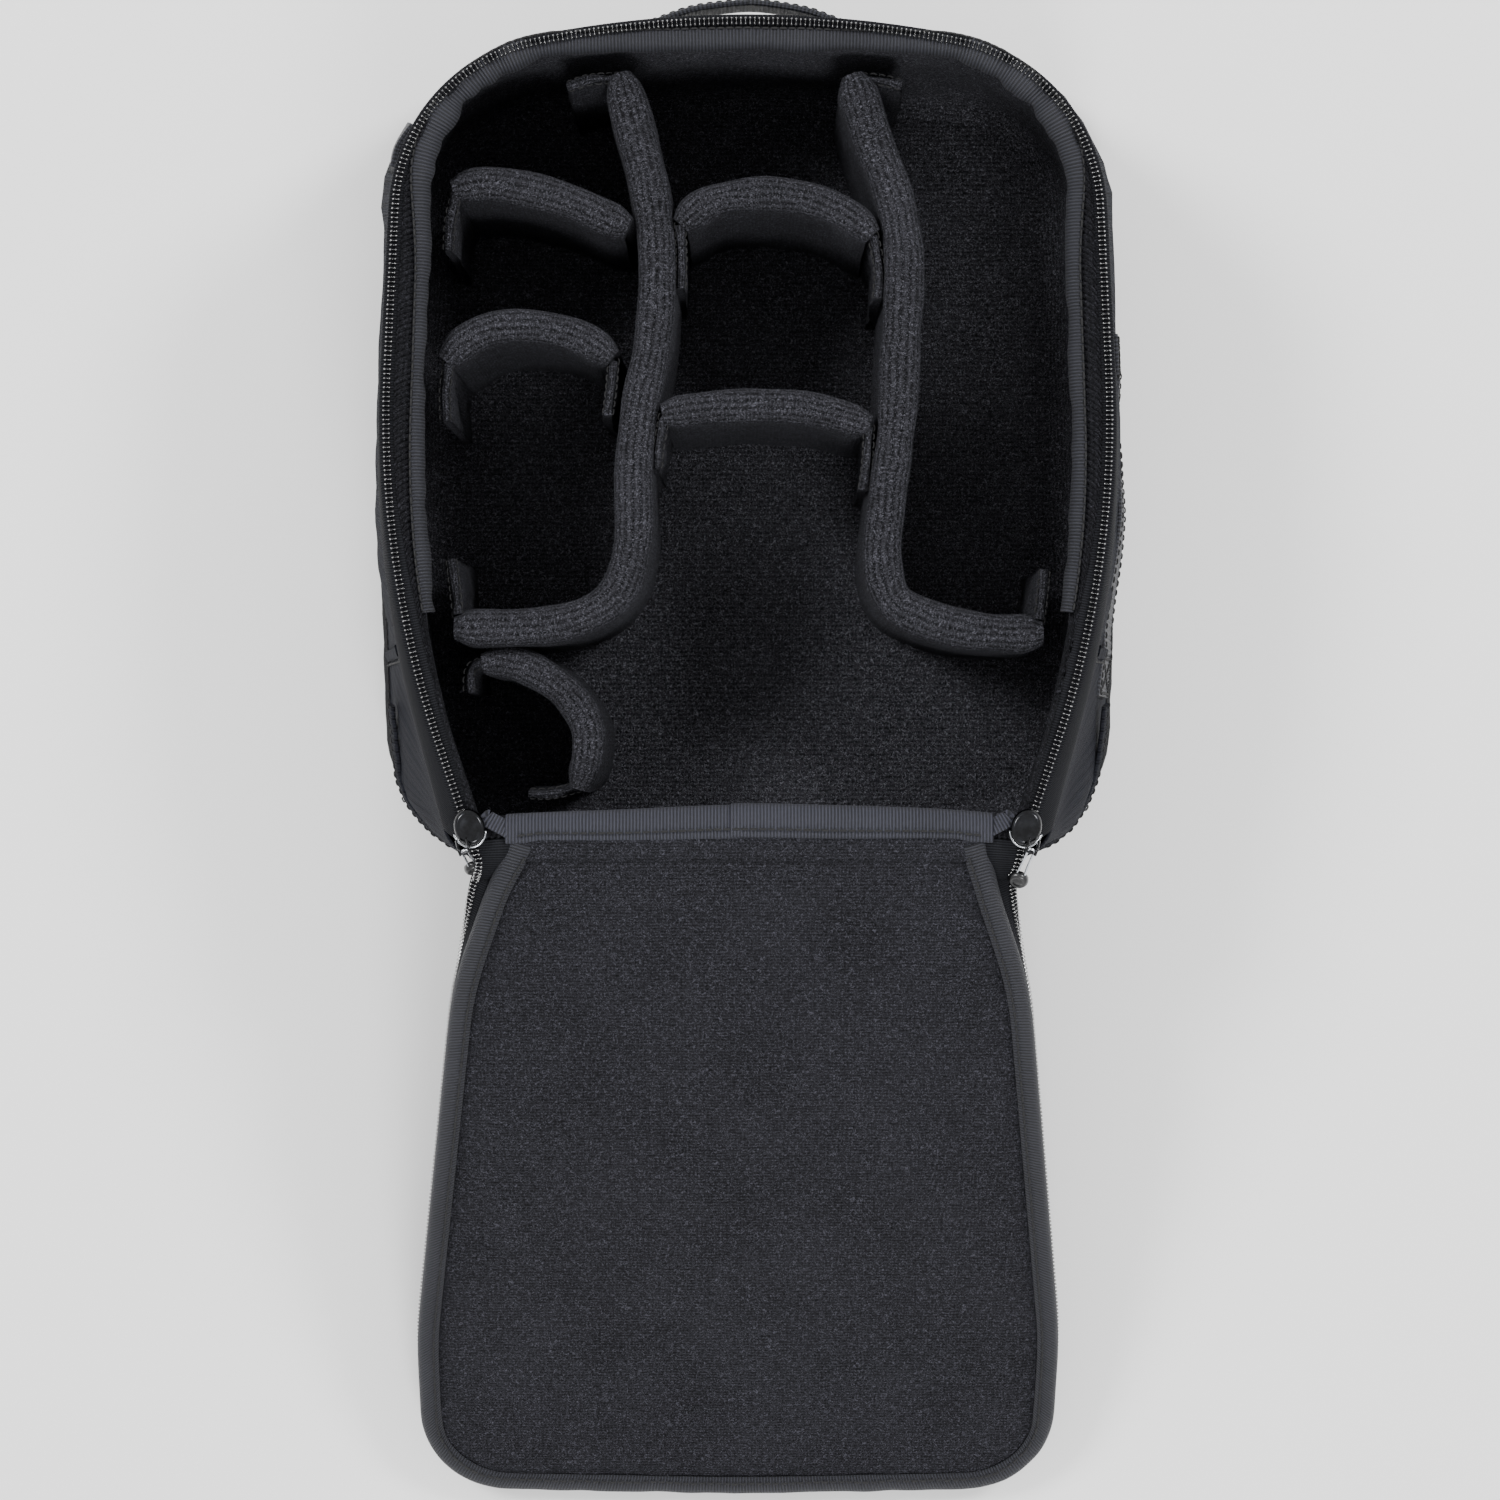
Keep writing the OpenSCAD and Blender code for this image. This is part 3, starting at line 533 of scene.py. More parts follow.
def woven(name, deep, face, thread):
    """Plain-woven nylon: a fine basket of threads, a little glossy, with a painted highlight where the
    threads cross.
    """
    material, t, shader = blank(name, Roughness=0.62, Sheen_Weight=0.03)
    shader.inputs["Specular IOR Level"].default_value = 0.3
    place = add(t, "ShaderNodeTexCoord").outputs["Object"]
    warp = add(t, "ShaderNodeTexWave", {"Vector": place, "Scale": bands(thread), "Distortion": 0.4},
               bands_direction="X")
    weft = add(t, "ShaderNodeTexWave", {"Vector": place, "Scale": bands(thread), "Distortion": 0.4},
               bands_direction="Y")
    basket = add(t, "ShaderNodeMath", {0: warp.outputs["Fac"], 1: weft.outputs["Fac"]},
                 operation="MULTIPLY")
    wear = add(t, "ShaderNodeTexNoise", {"Vector": place, "Scale": 1 / (22 * MM), "Detail": 4.0})
    # The colour is light where the threads cross and dark between them, painted highlight and painted
    # shade, with random patches of tone.
    tone = add(t, "ShaderNodeMath", {0: wear.outputs["Fac"], 1: 0.5, 2: basket.outputs[0]},
               operation="MULTIPLY_ADD")
    colour = ramp(add(t, "ShaderNodeValToRGB", {"Fac": tone.outputs[0]}), (0.2, deep), (1.0, face))
    t.links.new(colour, shader.inputs["Base Color"])
    bump = add(t, "ShaderNodeBump", {"Height": basket.outputs[0], "Strength": 0.6, "Distance": 0.25 * MM})
    t.links.new(bump.outputs["Normal"], shader.inputs["Normal"])
    return material


def moulded(name, face, worn, rough, metal=0.0, coat=0.0):
    """A hard trim surface: even colour, faint grain, and rubbed marks where hands reach."""
    material, t, shader = blank(name, Metallic=metal, Coat_Weight=coat, Coat_Roughness=0.12)
    place = add(t, "ShaderNodeTexCoord").outputs["Object"]
    marks = add(t, "ShaderNodeTexNoise", {"Vector": place, "Scale": 1 / (4 * MM), "Detail": 5.0,
                                          "Roughness": 0.65})
    colour = ramp(add(t, "ShaderNodeValToRGB", {"Fac": marks.outputs["Fac"]}), (0.4, face), (0.75, worn))
    t.links.new(colour, shader.inputs["Base Color"])
    spread = add(
        t, "ShaderNodeMapRange",
        {"Value": marks.outputs["Fac"], "From Min": 0.3, "From Max": 0.8, "To Min": rough,
         "To Max": rough + 0.18},
    )
    t.links.new(spread.outputs[0], shader.inputs["Roughness"])
    fine = add(t, "ShaderNodeTexNoise", {"Vector": place, "Scale": 1 / (0.5 * MM), "Detail": 2.0})
    bump = add(t, "ShaderNodeBump", {"Height": fine.outputs["Fac"], "Strength": 0.2, "Distance": 0.1 * MM})
    t.links.new(bump.outputs["Normal"], shader.inputs["Normal"])
    return material


# Brushed rib knit of the dividers: nearly black, with soft rows of loops along each divider.
divider_knit = knit("brushed rib knit, black", "#060607", "#333338", "#606069", 1.7, 1.4, 0.9, 0.8, 0.6,
                    0.9)
# The walls' knit is the same cloth with its loops raised to a pile that hook tape grips.
wall_knit = knit("raised loop knit, black", "#0c0c0e", "#48484e", "#7c7c85", 1.8, 1.4, 0.9, 0.9, 0.3, 1.0)
# The facing beside the zip is the same cloth, gathered into crimps; its colours are darker than the wall
# knit's all over, which is painted shade.
shaded_facing_knit = knit("crimped knit, black", "#030304", "#202024", "#3e3e45", 1.8, 1.4, 0.9, 0.9, 0.3, 1.0)
# The lid's lining is a flatter, finer knit whose rows run across the lid.
lid_knit = knit("flat jersey knit, black", "#040405", "#2b2b30", "#4c4c55", 1.3, 1.4, 0.7, 0.8, 0.35, 0.95)
# Grosgrain ribbon: slate blue-grey, with ribs across the ribbon.
grosgrain = ribbed("grosgrain ribbon, slate", "#0f1014", "#34353f", 1.25, 0.5, sheen=0.05, rough=0.5)
# The darker grosgrain that binds the mouth and the lid; its ribs are drawn half as coarse again as
# the real 0.8 mm ones, so that they show.
dark_grosgrain = ribbed("grosgrain ribbon, charcoal", "#08080a", "#292a31", 1.25, 0.5, sheen=0.04,
                        rough=0.52)
# Ottoman nylon of the gussets: flat ribs from the mouth down to the back.
ottoman = ribbed("ottoman nylon, slate", "#060608", "#212228", 1.25, 0.5, sheen=0.0, rough=0.7,
                 gloss=0.05, folds=0.8)
# Woven polyester zip tape.
zip_tape = ribbed("woven zip tape, charcoal", "#060608", "#1b1c20", 1.0, 0.3, sheen=0.0, rough=0.7,
                  gloss=0.1)
# Nylon webbing of the handles, with its ribs across the strap.
webbing = ribbed("nylon webbing, charcoal", "#08090b", "#2d2e35", 1.6, 0.6, cross=0.9, sheen=0.04,
                 rough=0.55)
# Black sewing thread.
thread = moulded("polyester thread, black", "#050506", "#131317", 0.7)
# Nylon coil: extruded monofilament, so it is smooth and glints. Its IOR is set well above nylon's
# 1.53, because teeth drawn this coarse catch too little light without it.
coil = moulded("nylon coil, black", "#0a0a0c", "#17171b", 0.1, coat=0.8)
coil.node_tree.nodes["Principled BSDF"].inputs["IOR"].default_value = 1.85
coil.node_tree.nodes["Principled BSDF"].inputs["Specular IOR Level"].default_value = 1.0
# Zinc sliders, electroplated a dark gunmetal.
gunmetal = moulded("plated zinc, gunmetal", "#101114", "#26272b", 0.22, metal=1.0, coat=0.5)
# Bare steel wire of the pull's loop.
steel_wire = moulded("steel wire, bright", "#b4b7bc", "#d0d3d8", 0.16, metal=1.0)
# Glossy moulded knob of the pulls.
knob_resin = moulded("acetal knob, black", "#060607", "#111216", 0.28, coat=0.3)
# Tight plain weave of the back and its piping.
back_weave = woven("plain-woven nylon, black", "#060608", "#1a1b20", 0.9)


# ---- What repeats: stitches, teeth and fibres ----


def tree_with(name, **inputs):
    """A Geometry Nodes tree that takes and gives a mesh, with its other inputs and their kinds."""
    tree = bpy.data.node_groups.new(name, "GeometryNodeTree")
    for label, kind in {"Geometry": "Geometry", **inputs}.items():
        tree.interface.new_socket(label, in_out="INPUT", socket_type="NodeSocket" + kind)
    tree.interface.new_socket("Geometry", in_out="OUTPUT", socket_type="NodeSocketGeometry")
    return tree, add(tree, "NodeGroupInput").outputs


def set_out(tree, given, points, rotation, size):
    """Ends a tree: its small piece is set on the points, made real and given its finish."""
    piece = add(tree, "GeometryNodeObjectInfo", {"Object": given["Piece"]}, transform_space="ORIGINAL")
    placed = add(
        tree, "GeometryNodeInstanceOnPoints",
        {"Points": points, "Instance": piece.outputs["Geometry"], "Rotation": rotation, "Scale": size},
    )
    real = add(tree, "GeometryNodeRealizeInstances", {"Geometry": placed.outputs[0]}).outputs[0]
    done = add(tree, "GeometryNodeSetMaterial", {"Geometry": real, "Material": given["Finish"]}).outputs[0]
    add(tree, "NodeGroupOutput", {"Geometry": done})
    return tree


def along_path_tree():
    """A small piece set at even spacing along a path, upright to the path's up."""
    tree, given = tree_with(
        "set along a path", Spacing="Float", Piece="Object", Finish="Material", Unevenness="Float"
    )
    curve = add(tree, "GeometryNodeMeshToCurve", {"Mesh": given["Geometry"]}).outputs[0]
    even = add(tree, "GeometryNodeResampleCurve", {"Curve": curve, "Length": given["Spacing"]},
               mode="LENGTH")
    tangent = add(tree, "GeometryNodeInputTangent").outputs[0]
    upward = add(tree, "GeometryNodeInputNamedAttribute", {"Name": "upward"},
                 data_type="FLOAT_VECTOR").outputs[0]
    along_it = add(tree, "FunctionNodeAlignRotationToVector", {"Vector": tangent}, axis="X").outputs[0]
    upright = add(tree, "FunctionNodeAlignRotationToVector", {"Rotation": along_it, "Vector": upward},
                  axis="Z", pivot_axis="X").outputs[0]
    negative = add(tree, "ShaderNodeMath", {0: given["Unevenness"], 1: -1.0},
                   operation="MULTIPLY").outputs[0]
    wobble = add(tree, "FunctionNodeRandomValue", {2: negative, 3: given["Unevenness"], "Seed": 4},
                 data_type="FLOAT").outputs[1]
    size = add(tree, "ShaderNodeMath", {0: wobble, 1: 1.0}, operation="ADD").outputs[0]
    return set_out(tree, given, even.outputs[0], upright, size)


def fibre_tree():
    """Loose fibres standing out of a cloth at random."""
    tree, given = tree_with("loose fibres", Density="Float", Piece="Object", Finish="Material", Seed="Int")
    spread = add(
        tree, "GeometryNodeDistributePointsOnFaces",
        {"Mesh": given["Geometry"], "Density": given["Density"], "Seed": given["Seed"]},
    )
    turn = add(tree, "FunctionNodeRandomValue", {0: (-1.1, -1.1, -3.14), 1: (1.1, 1.1, 3.14), "Seed": 7},
               data_type="FLOAT_VECTOR").outputs[0]
    turned = add(tree, "FunctionNodeRotateRotation",
                 {"Rotation": spread.outputs["Rotation"], "Rotate By": turn},
                 rotation_space="LOCAL").outputs[0]
    size = add(tree, "FunctionNodeRandomValue", {2: 0.5, 3: 1.3, "Seed": 9}, data_type="FLOAT").outputs[1]
    return set_out(tree, given, spread.outputs["Points"], turned, size)


ALONG_PATH, FIBRES = along_path_tree(), fibre_tree()


def grown(name, source, tree, **inputs):
    """Runs a Geometry Nodes tree on an object and returns its result as a plain mesh object."""
    modifier = source.modifiers.new("grow", "NODES")
    modifier.node_group = tree
    for item in tree.interface.items_tree:
        if item.in_out == "INPUT" and item.name in inputs:
            modifier[item.identifier] = inputs[item.name]
    evaluated = source.evaluated_get(bpy.context.evaluated_depsgraph_get())
    mesh = bpy.data.meshes.new_from_object(evaluated)
    mesh.name = name
    mesh.polygons.foreach_set("use_smooth", [True] * len(mesh.polygons))
    source.modifiers.remove(modifier)
    obj = bpy.data.objects.new(name, mesh)
    bpy.context.scene.collection.objects.link(obj)
    return obj


def along(name, path, up, spacing, piece, finish, unevenness=0.0):
    """Sets a small piece along a path of points in millimetres."""
    path = np.asarray(path, float)
    line = bpy.data.meshes.new(name + "_line")
    line.from_pydata((path * MM).tolist(), [(i, i + 1) for i in range(len(path) - 1)], [])
    attribute = line.attributes.new("upward", "FLOAT_VECTOR", "POINT")
    attribute.data.foreach_set("vector", np.broadcast_to(up, path.shape).astype(np.float32).ravel())
    source = bpy.data.objects.new(name + "_line", line)
    bpy.context.scene.collection.objects.link(source)
    made = grown(name, source, ALONG_PATH, Spacing=spacing * MM, Piece=piece, Finish=finish,
                 Unevenness=unevenness)
    bpy.data.objects.remove(source)
    return made


def stitch_piece():
    """One stitch: a short run of thread that dips into the cloth at both ends."""
    x = np.linspace(-1.15, 1.15, 7)
    path = np.column_stack([x, 0 * x, 0.34 - 0.42 * (x / 1.15) ** 4])
    return sweep("stitch", path, (0, 0, 1), profile(0.85, 0.6, 0.28, 1.0, arc=1), None)


def tooth_piece():
    """One turn of the coil as it shows from above: a thin bar with a rounded bead at each end."""
    x = np.array([-1.6, -1.45, -1.05, -0.7, -0.45, 0.3, 0.5, 0.85, 1.2, 1.35])
    wide = np.array([0.4, 0.95, 1.2, 0.9, 0.45, 0.45, 0.85, 1.1, 0.85, 0.35])
    high = np.array([0.6, 1.7, 2.3, 1.7, 0.6, 0.6, 1.6, 2.1, 1.6, 0.5])
    base = profile(1.0, 1.0, 0.45, 2.0, arc=1)
    shape = base[None] * np.stack([wide, high], 1)[:, None]
    return sweep("tooth", np.column_stack([0 * x, -x, 0 * x]), (0, 0, 1), shape, None)


def fibre_piece():
    """One loose fibre: a fine curved sliver, drawn thicker than a real one so that it shows."""
    points = [(-0.04, 0, 0), (0.04, 0, 0), (-0.02, 0.2, 0.4), (0.06, 0.2, 0.4), (0.1, 0.5, 0.65)]
    return build("fibre", points, [(0, 1, 3, 2), (2, 3, 4)])


STITCH, TOOTH, FIBRE = stitch_piece(), tooth_piece(), fibre_piece()
templates = [STITCH, TOOTH, FIBRE]
# Loose fibres: pale enough to glint on the black cloth.
loose_fibre = moulded("loose polyester fibre, grey", "#26272b", "#3c3d43", 0.85)


def stitches(name, path, up, body, slot="binding", spacing=3.3):
    made = along(name, path, up, spacing, STITCH, thread, 0.08)
    return settle(made, body, slot)


def fuzz(name, source, density, seed, body, slot):
    """Loose fibres over a finished piece, density in fibres per square centimetre."""
    made = grown(name, source, FIBRES, Density=density * 1e4, Piece=FIBRE, Finish=loose_fibre, Seed=seed)
    return settle(made, body, slot)


# ---- The shell's outside ----


def cut(obj, name, y, keep_above):
    """A copy of obj cut by a plane across the bag at y."""
    mesh = obj.data.copy()
    copy = bpy.data.objects.new(name, mesh)
    bpy.context.scene.collection.objects.link(copy)
    bpy.ops.object.select_all(action="DESELECT")
    copy.select_set(True)
    bpy.context.view_layer.objects.active = copy
    bpy.ops.object.mode_set(mode="EDIT")
    bpy.ops.mesh.select_all(action="SELECT")
    bpy.ops.mesh.bisect(
        plane_co=(0, y * MM, 0), plane_no=(0, 1, 0), clear_inner=keep_above, clear_outer=not keep_above
    )
    bpy.ops.object.mode_set(mode="OBJECT")
    mesh.name = name
    return copy


def gusset():
    """The side wall's fabric: an upper and a lower piece that meet at a seam on each flank."""
    levels = np.linspace(RIM_Z - 1, WALL_Z + 0.2, 24)
    u = lengths(BACK)
    flank = smooth((BACK[:, 0] ** 2 - 110**2) / 4000)
    rows = []
    for z in levels:
        t = (z - levels[0]) / (levels[-1] - levels[0])
        full = 2.2 * flank * math.sin(math.pi * min(1, t * 1.25)) ** 2 if t < 0.8 else 0
        soft = ripple(u, np.full_like(u, z), 3, 60) * 1.1 * math.sin(math.pi * t)
        crease = 0.5 * (1 - t) * np.sin(math.tau * u / 11 + 2 * ripple(u, u * 0, 6, 90)) * smooth(t * 4)
        rows.append(lift(inset(outer_wall(z)[:, :2], -soft - crease - full), z))
    whole = surface("gusset_whole", rows, ottoman, closed=True)
    for name, above in (("gusset_upper", True), ("gusset_lower", False)):
        piece = cut(whole, name + "_fabric", SEAM_Y + (0.2 if above else -0.2), above)
        thicken(piece, 1.0)
        settle(piece, "shell", "gusset_fabric", [name])
    bpy.data.objects.remove(whole)
    levels = np.array([r[0, 2] for r in rows])

    def wall_point(side, y, z, out):
        """A point on the left or right wall at a given y and height."""
        k = int(np.argmin(np.abs(levels - z)))
        wall = inset(rows[k][:, :2], -out)
        wall = wall[wall[:, 0] * side > 40]
        order = np.argsort(wall[:, 1])
        return (np.interp(y, wall[order, 1], wall[order, 0]), y, z)

    for name, side in SIDES.items():
        height = levels[1:-1]
        out = (side, -0.25, 0.12)
        edge = [wall_point(side, SEAM_Y - 1.8, z, 0.5) for z in height]
        fold = sweep(f"gusset_seam_{name}", edge, out, profile(4.6, 1.5, 0.7, 1.2, arc=3), ottoman)
        settle(fold, "shell", "gusset_fabric")
        line = [wall_point(side, SEAM_Y - 5.2, z, 0.3) for z in height]
        stitches(f"gusset_seam_stitches_{name}", line, out, "shell", "gusset_fabric")
    # The lower piece ends in a stitched welt that runs round the bag's lower corners.
    k = int(np.argmin(np.abs(levels - WELT_Z)))
    around = np.roll(np.arange(len(BACK)), -(PER_VERTEX * 5))
    low = [i for i in around if BACK[i, 1] < SEAM_Y - 3]
    wall = inset(rows[k][:, :2], -0.5)[low]
    drop = 16 * smooth((SEAM_Y - 6 - wall[:, 1]) / 60)
    path = np.column_stack([wall, WELT_Z + 14 - drop])
    outward = np.column_stack([unit(wall - [0, -60]), np.full(len(wall), 0.3)])
    welt = sweep("gusset_welt", path, outward, profile(6.0, 1.8, 0.85, 1.4, arc=3), ottoman)
    settle(soften(welt), "shell", "gusset_fabric")
    stitches("gusset_welt_stitches", path + outward * 0.95 + [0, 0, 2.1], outward, "shell",
             "gusset_fabric", 3.6)


def base_rim():
    """The rounded lower edge that the back is stretched over, and the piping above it."""
    section = [(10.2, 0.7), (7.5, 1.2), (4.6, 2.8), (2.4, 5.4), (0.9, 9.0), (0.2, 13.5), (0.0, 18.5),
               (0.1, RIM_Z)]
    u = lengths(BACK)
    rows = [
        lift(inset(BACK, d - 0.5 * ripple(u, u * 0 + z, 8, 40) * min(1, z / 12)), z)
        for d, z in section
    ]
    rim = surface("back_rim_fabric", rows, back_weave, closed=True, thickness=1.1)
    settle(soften(rim), "shell", "gusset_fabric", ["back_rim"])
    path = lift(inset(BACK, 0.2 + 0.25 * ripple(u, 0 * u, 11, 12)), RIM_Z + 0.2)
    piping = sweep("base_piping", path, (0, 0, 1), profile(3.6, 3.2, 1.6, 1.0, arc=4), back_weave,
                   closed=True)
    settle(piping, "shell", "back_fabric", ["back_piping"])
    stitches("base_piping_stitches", lift(inset(BACK, 0.35), RIM_Z + 3.4)[: -1], (0, 0, 1), "shell",
             "back_fabric", 3.6)


# ---- The mouth ----


# How far each point of the zip is down the lower flanks, and up over the top of the mouth.
ZIP_LOW, ZIP_CREST = smooth((-10 - ZIP[:, 1]) / 70), smooth((ZIP[:, 1] - 90) / 50)


def mouth_zip():
    """The zip tape, turned up from the wall and in over it, and the coil sewn on the tape."""
    tape_rows = [
        lift(inset(WALL, -0.5), WALL_Z - 2.5),
        lift(inset(WALL, -0.6), WALL_Z + 0.6),
        lift(mix(inset(WALL, -0.5), inset(ZIP, -CHAIN_W / 2), 0.55), WALL_Z + 4.8),
        lift(inset(ZIP, -CHAIN_W / 2 - 0.3), MOUTH_Z - 2.7),
        lift(inset(ZIP, -CHAIN_W / 2 + 0.5), MOUTH_Z - 2.1),
        lift(inset(ZIP, 0.5), MOUTH_Z - 2.3),
        lift(inset(ZIP, 1.9 + 2.6 * ZIP_LOW - 0.3 * ZIP_CREST), MOUTH_Z - 2.2 - 0.8 * ZIP_CREST),
        lift(inset(ZIP, 2.9 + 3.0 * ZIP_LOW - 0.8 * ZIP_CREST), MOUTH_Z - 2.9 - 1.6 * ZIP_CREST),
    ]
    rows = [row[ZIP_FIRST : ZIP_LAST + 1] for row in tape_rows]
    tape = surface("mouth_zip_tape", rows, zip_tape, thickness=0.7)
    settle(soften(tape), "shell", "zip_tape", ["body_zip_tape"])
    path = lift(ZIP, MOUTH_Z - CHAIN_H / 2)[ZIP_FIRST : ZIP_LAST + 1]
    teeth = along("mouth_zip_coil", path, (0, 0, 1), TOOTH_PITCH, TOOTH, coil, 0.05)
    settle(teeth, "shell", "zip_chain", ["body_zip_chain"])


def mouth_facing():
    """The knit strip inside the coil: it is gathered as it is sewn, so it is crimped across its width."""
    flank = 1 - smooth((INNER[:, 1] - 60) / 60)
    outer = inset(ZIP, 2.3 + 2.6 * ZIP_LOW - 0.6 * ZIP_CREST)
    middle, inner = inset(INNER, -2.6 + 3.2 * flank), inset(INNER, 0.6 + 1.2 * flank)
    loops = [outer, mix(outer, middle, 0.3), mix(outer, middle, 0.65), middle, inner, inset(INNER, 0.9)]
    count = len(resample(back_to_start(outer), 0.55))
    ring = [divided(back_to_start(loop), count) for loop in loops]
    count = min(len(r) for r in ring)
    ring = [r[: count - 1] for r in ring]
    u = lengths(ring[0])
    wander = ripple(u, 0 * u, 23, 30)
    crimp = np.sin(math.tau * u / 2.3 + 1.8 * wander)
    height = [(MOUTH_Z - 2.6, 0.35), (MOUTH_Z - 2.0, 0.75), (MOUTH_Z - 2.6, 0.8), (MOUTH_Z - 4.6, 0.6),
              (MOUTH_Z - 6.8, 0.2), (WALL_Z - 3, 0.0)]
    crest = smooth((ring[0][:, 1] - 90) / 50)
    rows = [lift(r, z - 2.4 * crest * (a > 0) + a * (crimp + 0.5 * wander)) for r,
            (z, a) in zip(ring, height)]
    strip = surface("mouth_facing", rows, shaded_facing_knit, closed=True, thickness=0.9)
    settle(strip, "shell", "knit_lining", ["rim_facing"])


def mouth_ribbon():
    """The ribbon bound over the mouth's inner edge: it lies soft, and gathers at the two top corners."""
    edge = resample(INNER[BINDING_FIRST : BINDING_LAST + 1], 1.2)
    t = unit(np.gradient(edge, axis=0))
    side = np.stack([-t[:, 1], t[:, 0]], 1)
    u = lengths(edge)
    turn = smooth(1 - np.hypot(np.abs(edge[:, 0]) - 96, edge[:, 1] - 122) / 52)
    roll = ripple(u, 0 * u, 21, 34)
    gather = ripple(u, 0 * u, 22, 12) * (0.25 + 1.0 * turn)
    top = smooth((edge[:, 1] - 60) / 60)
    section = [(-3.2, 119.4), (-3.0, 120.4), (-1.6, 121.3), (0.2, 121.5), (2.0, 121.1), (3.4, 120.0),
               (4.2, 118.2),
               (4.0, 116.2), (2.8, 114.8), (1.0, 114.4)]
    rows = [
        lift(
            edge + side * (
                mix(0.76 * d + 2.8, d - 1.2 * (d < 0), top)
                + 2.6 * turn * smooth(d / 3)
                + (0.7 * roll + 1.1 * gather) * smooth((d + 1) / 4)
            )[:, None],
            z + (0.5 * roll + 0.9 * gather) * math.sin(math.pi * min(1, k / 6)) + 0.5 * top,
        )
        for k, (d, z) in enumerate(section)
    ]
    binding = surface("mouth_ribbon", rows, dark_grosgrain, thickness=0.5)
    settle(soften(binding), "shell", "binding", ["mouth_binding"])
    line = (rows[1] + rows[2])[2:-2] / 2 + [0, 0, 0.3]
    stitches("mouth_ribbon_stitches", line, (0, 0, 1), "shell")


def panel_grid(loop, across, along_y):
    """Rows of points that fill a closed loop, from its low end up, each with its distance to the edge."""
    right = right_half(loop)
    low, high = right[0, 1] + 0.3, right[-1, 1] - 0.3
    turn = np.linspace(0, math.pi, along_y)
    for y in low + (high - low) * (1 - np.cos(turn)) / 2:
        half = np.interp(y, right[:, 1], right[:, 0])
        x = half * np.linspace(-1, 1, across + 1)
        yield x, 0 * x + y, np.minimum(half - np.abs(x), min(high - y, y - low))


def lining():
    """The knit tub inside the bag: walls, a soft turn at the floor, and the floor."""
    u = lengths(INNER)
    section = [(WALL_Z + 1.0, -0.2), (WALL_Z - 6, 0.3)]
    section += [(z, 0.0) for z in np.linspace(WALL_Z - 16, FLOOR_Z + 14, 8)]
    section += [(FLOOR_Z + 8, 1.0), (FLOOR_Z + 3.4, 3.2), (FLOOR_Z + 1.0, 6.6), (FLOOR_Z + 0.3, 12)]
    rows = []
    for z, d in section:
        soft = ripple(u, 0 * u + z, 14, 60) * 1.2 * min(1, (WALL_Z - z + 4) / 30)
        rows.append(inner_wall(z, d + soft))
    tub = surface("bag_lining", np.array(rows)[::-1], wall_knit, closed=True)
    rows = [
        np.column_stack([x, y, FLOOR_Z - 0.4 + 1.3 * smooth(gap / 10) + 0.4 * ripple(x, y, 15, 50)])
        for x, y, gap in panel_grid(inset(INNER_FLOOR, 7), 40, 60)
    ]
    bottom = surface("floor_lining_panel", rows[::-1], wall_knit, thickness=1.0)
    lay_flat(bottom)
    settle(soften(bottom), "shell", "knit_lining")
    thicken(tub, 1.0)
    hidden = ["wall_lining", "floor_lining", "foam_left", "foam_right", "foam_top", "foam_bottom",
              "back_foam"]
    settle(soften(tub), "shell", "knit_lining", hidden)


# ---- Dividers ----

LONG, CROSS = 14.6, 12.8
ROUTES = {
    "long_left": (LONG, 0, [(-48, 139), (-41.5, 115), (-36, 91), (-34, 66), (-35.5, 40), (-40.5, 14),
                            (-43, -10),
                            (-43, -36), (-49, -56), (-65, -66), (-86, -69), (-110.5, -69)]),
    "long_right": (LONG, 0, [(39.5, 139), (47, 115), (56, 90), (59, 66), (57.5, 36), (56, 8), (52.5, -20),
                             (50.5, -44), (56, -60), (74, -68), (94, -71), (111, -71)]),
    "upper_left": (CROSS, 0, [(-111, 95.5), (-100, 98), (-84, 96), (-66, 91), (-55, 86), (-44.5, 81)]),
    "lower_left": (CROSS, 0, [(-114, 31), (-106, 39), (-94, 44), (-78, 44), (-62, 40), (-50.5, 32)]),
    "upper_middle": (CROSS, 0, [(-25.5, 82), (-15, 91), (4, 94), (24, 92), (38, 86), (47, 78)]),
    "lower_middle": (CROSS, 0, [(-32.5, 11), (-17, 13.5), (4, 14.5), (26, 13), (46, 7)]),
    "corner": (CROSS, 8, [(-100.5, -82.5), (-90, -81.5), (-79, -86), (-68, -94), (-61, -105), (-60.5, -117),
                          (-64, -130)]),
}
WINGS = {
    "long_left": [[(-49, 137.5), (-60, 137), (-69, 134.5)], [(-109, -64), (-110.5, -52), (-112, -42)]],
    "long_right": [[(40.5, 137.5), (50, 137), (59, 135.5)], [(109.5, -66), (111, -55), (112, -46)]],
    "upper_left": [[(-109.5, 94), (-112, 84), (-113, 72)]],
    "lower_left": [[(-112.5, 30), (-114, 20), (-114, 8)], [(-50.5, 31), (-51.5, 20), (-53, 10)]],
    "upper_middle": [[(-25.5, 82), (-25, 70), (-25.5, 58)], [(47, 78), (49.5, 66), (49, 54)]],
    "lower_middle": [[(-31.5, 10), (-33.5, -1), (-34.5, -10)], [(45.5, 6), (45, -6), (43.5, -18)]],
    "corner": [[(-99, -82), (-105, -84), (-106, -94)], [(-64, -129), (-74, -131.5), (-84, -131.5)]],
}


DRAPE_FRAMES, CLOTH_STIFFNESS = 16, 4.0


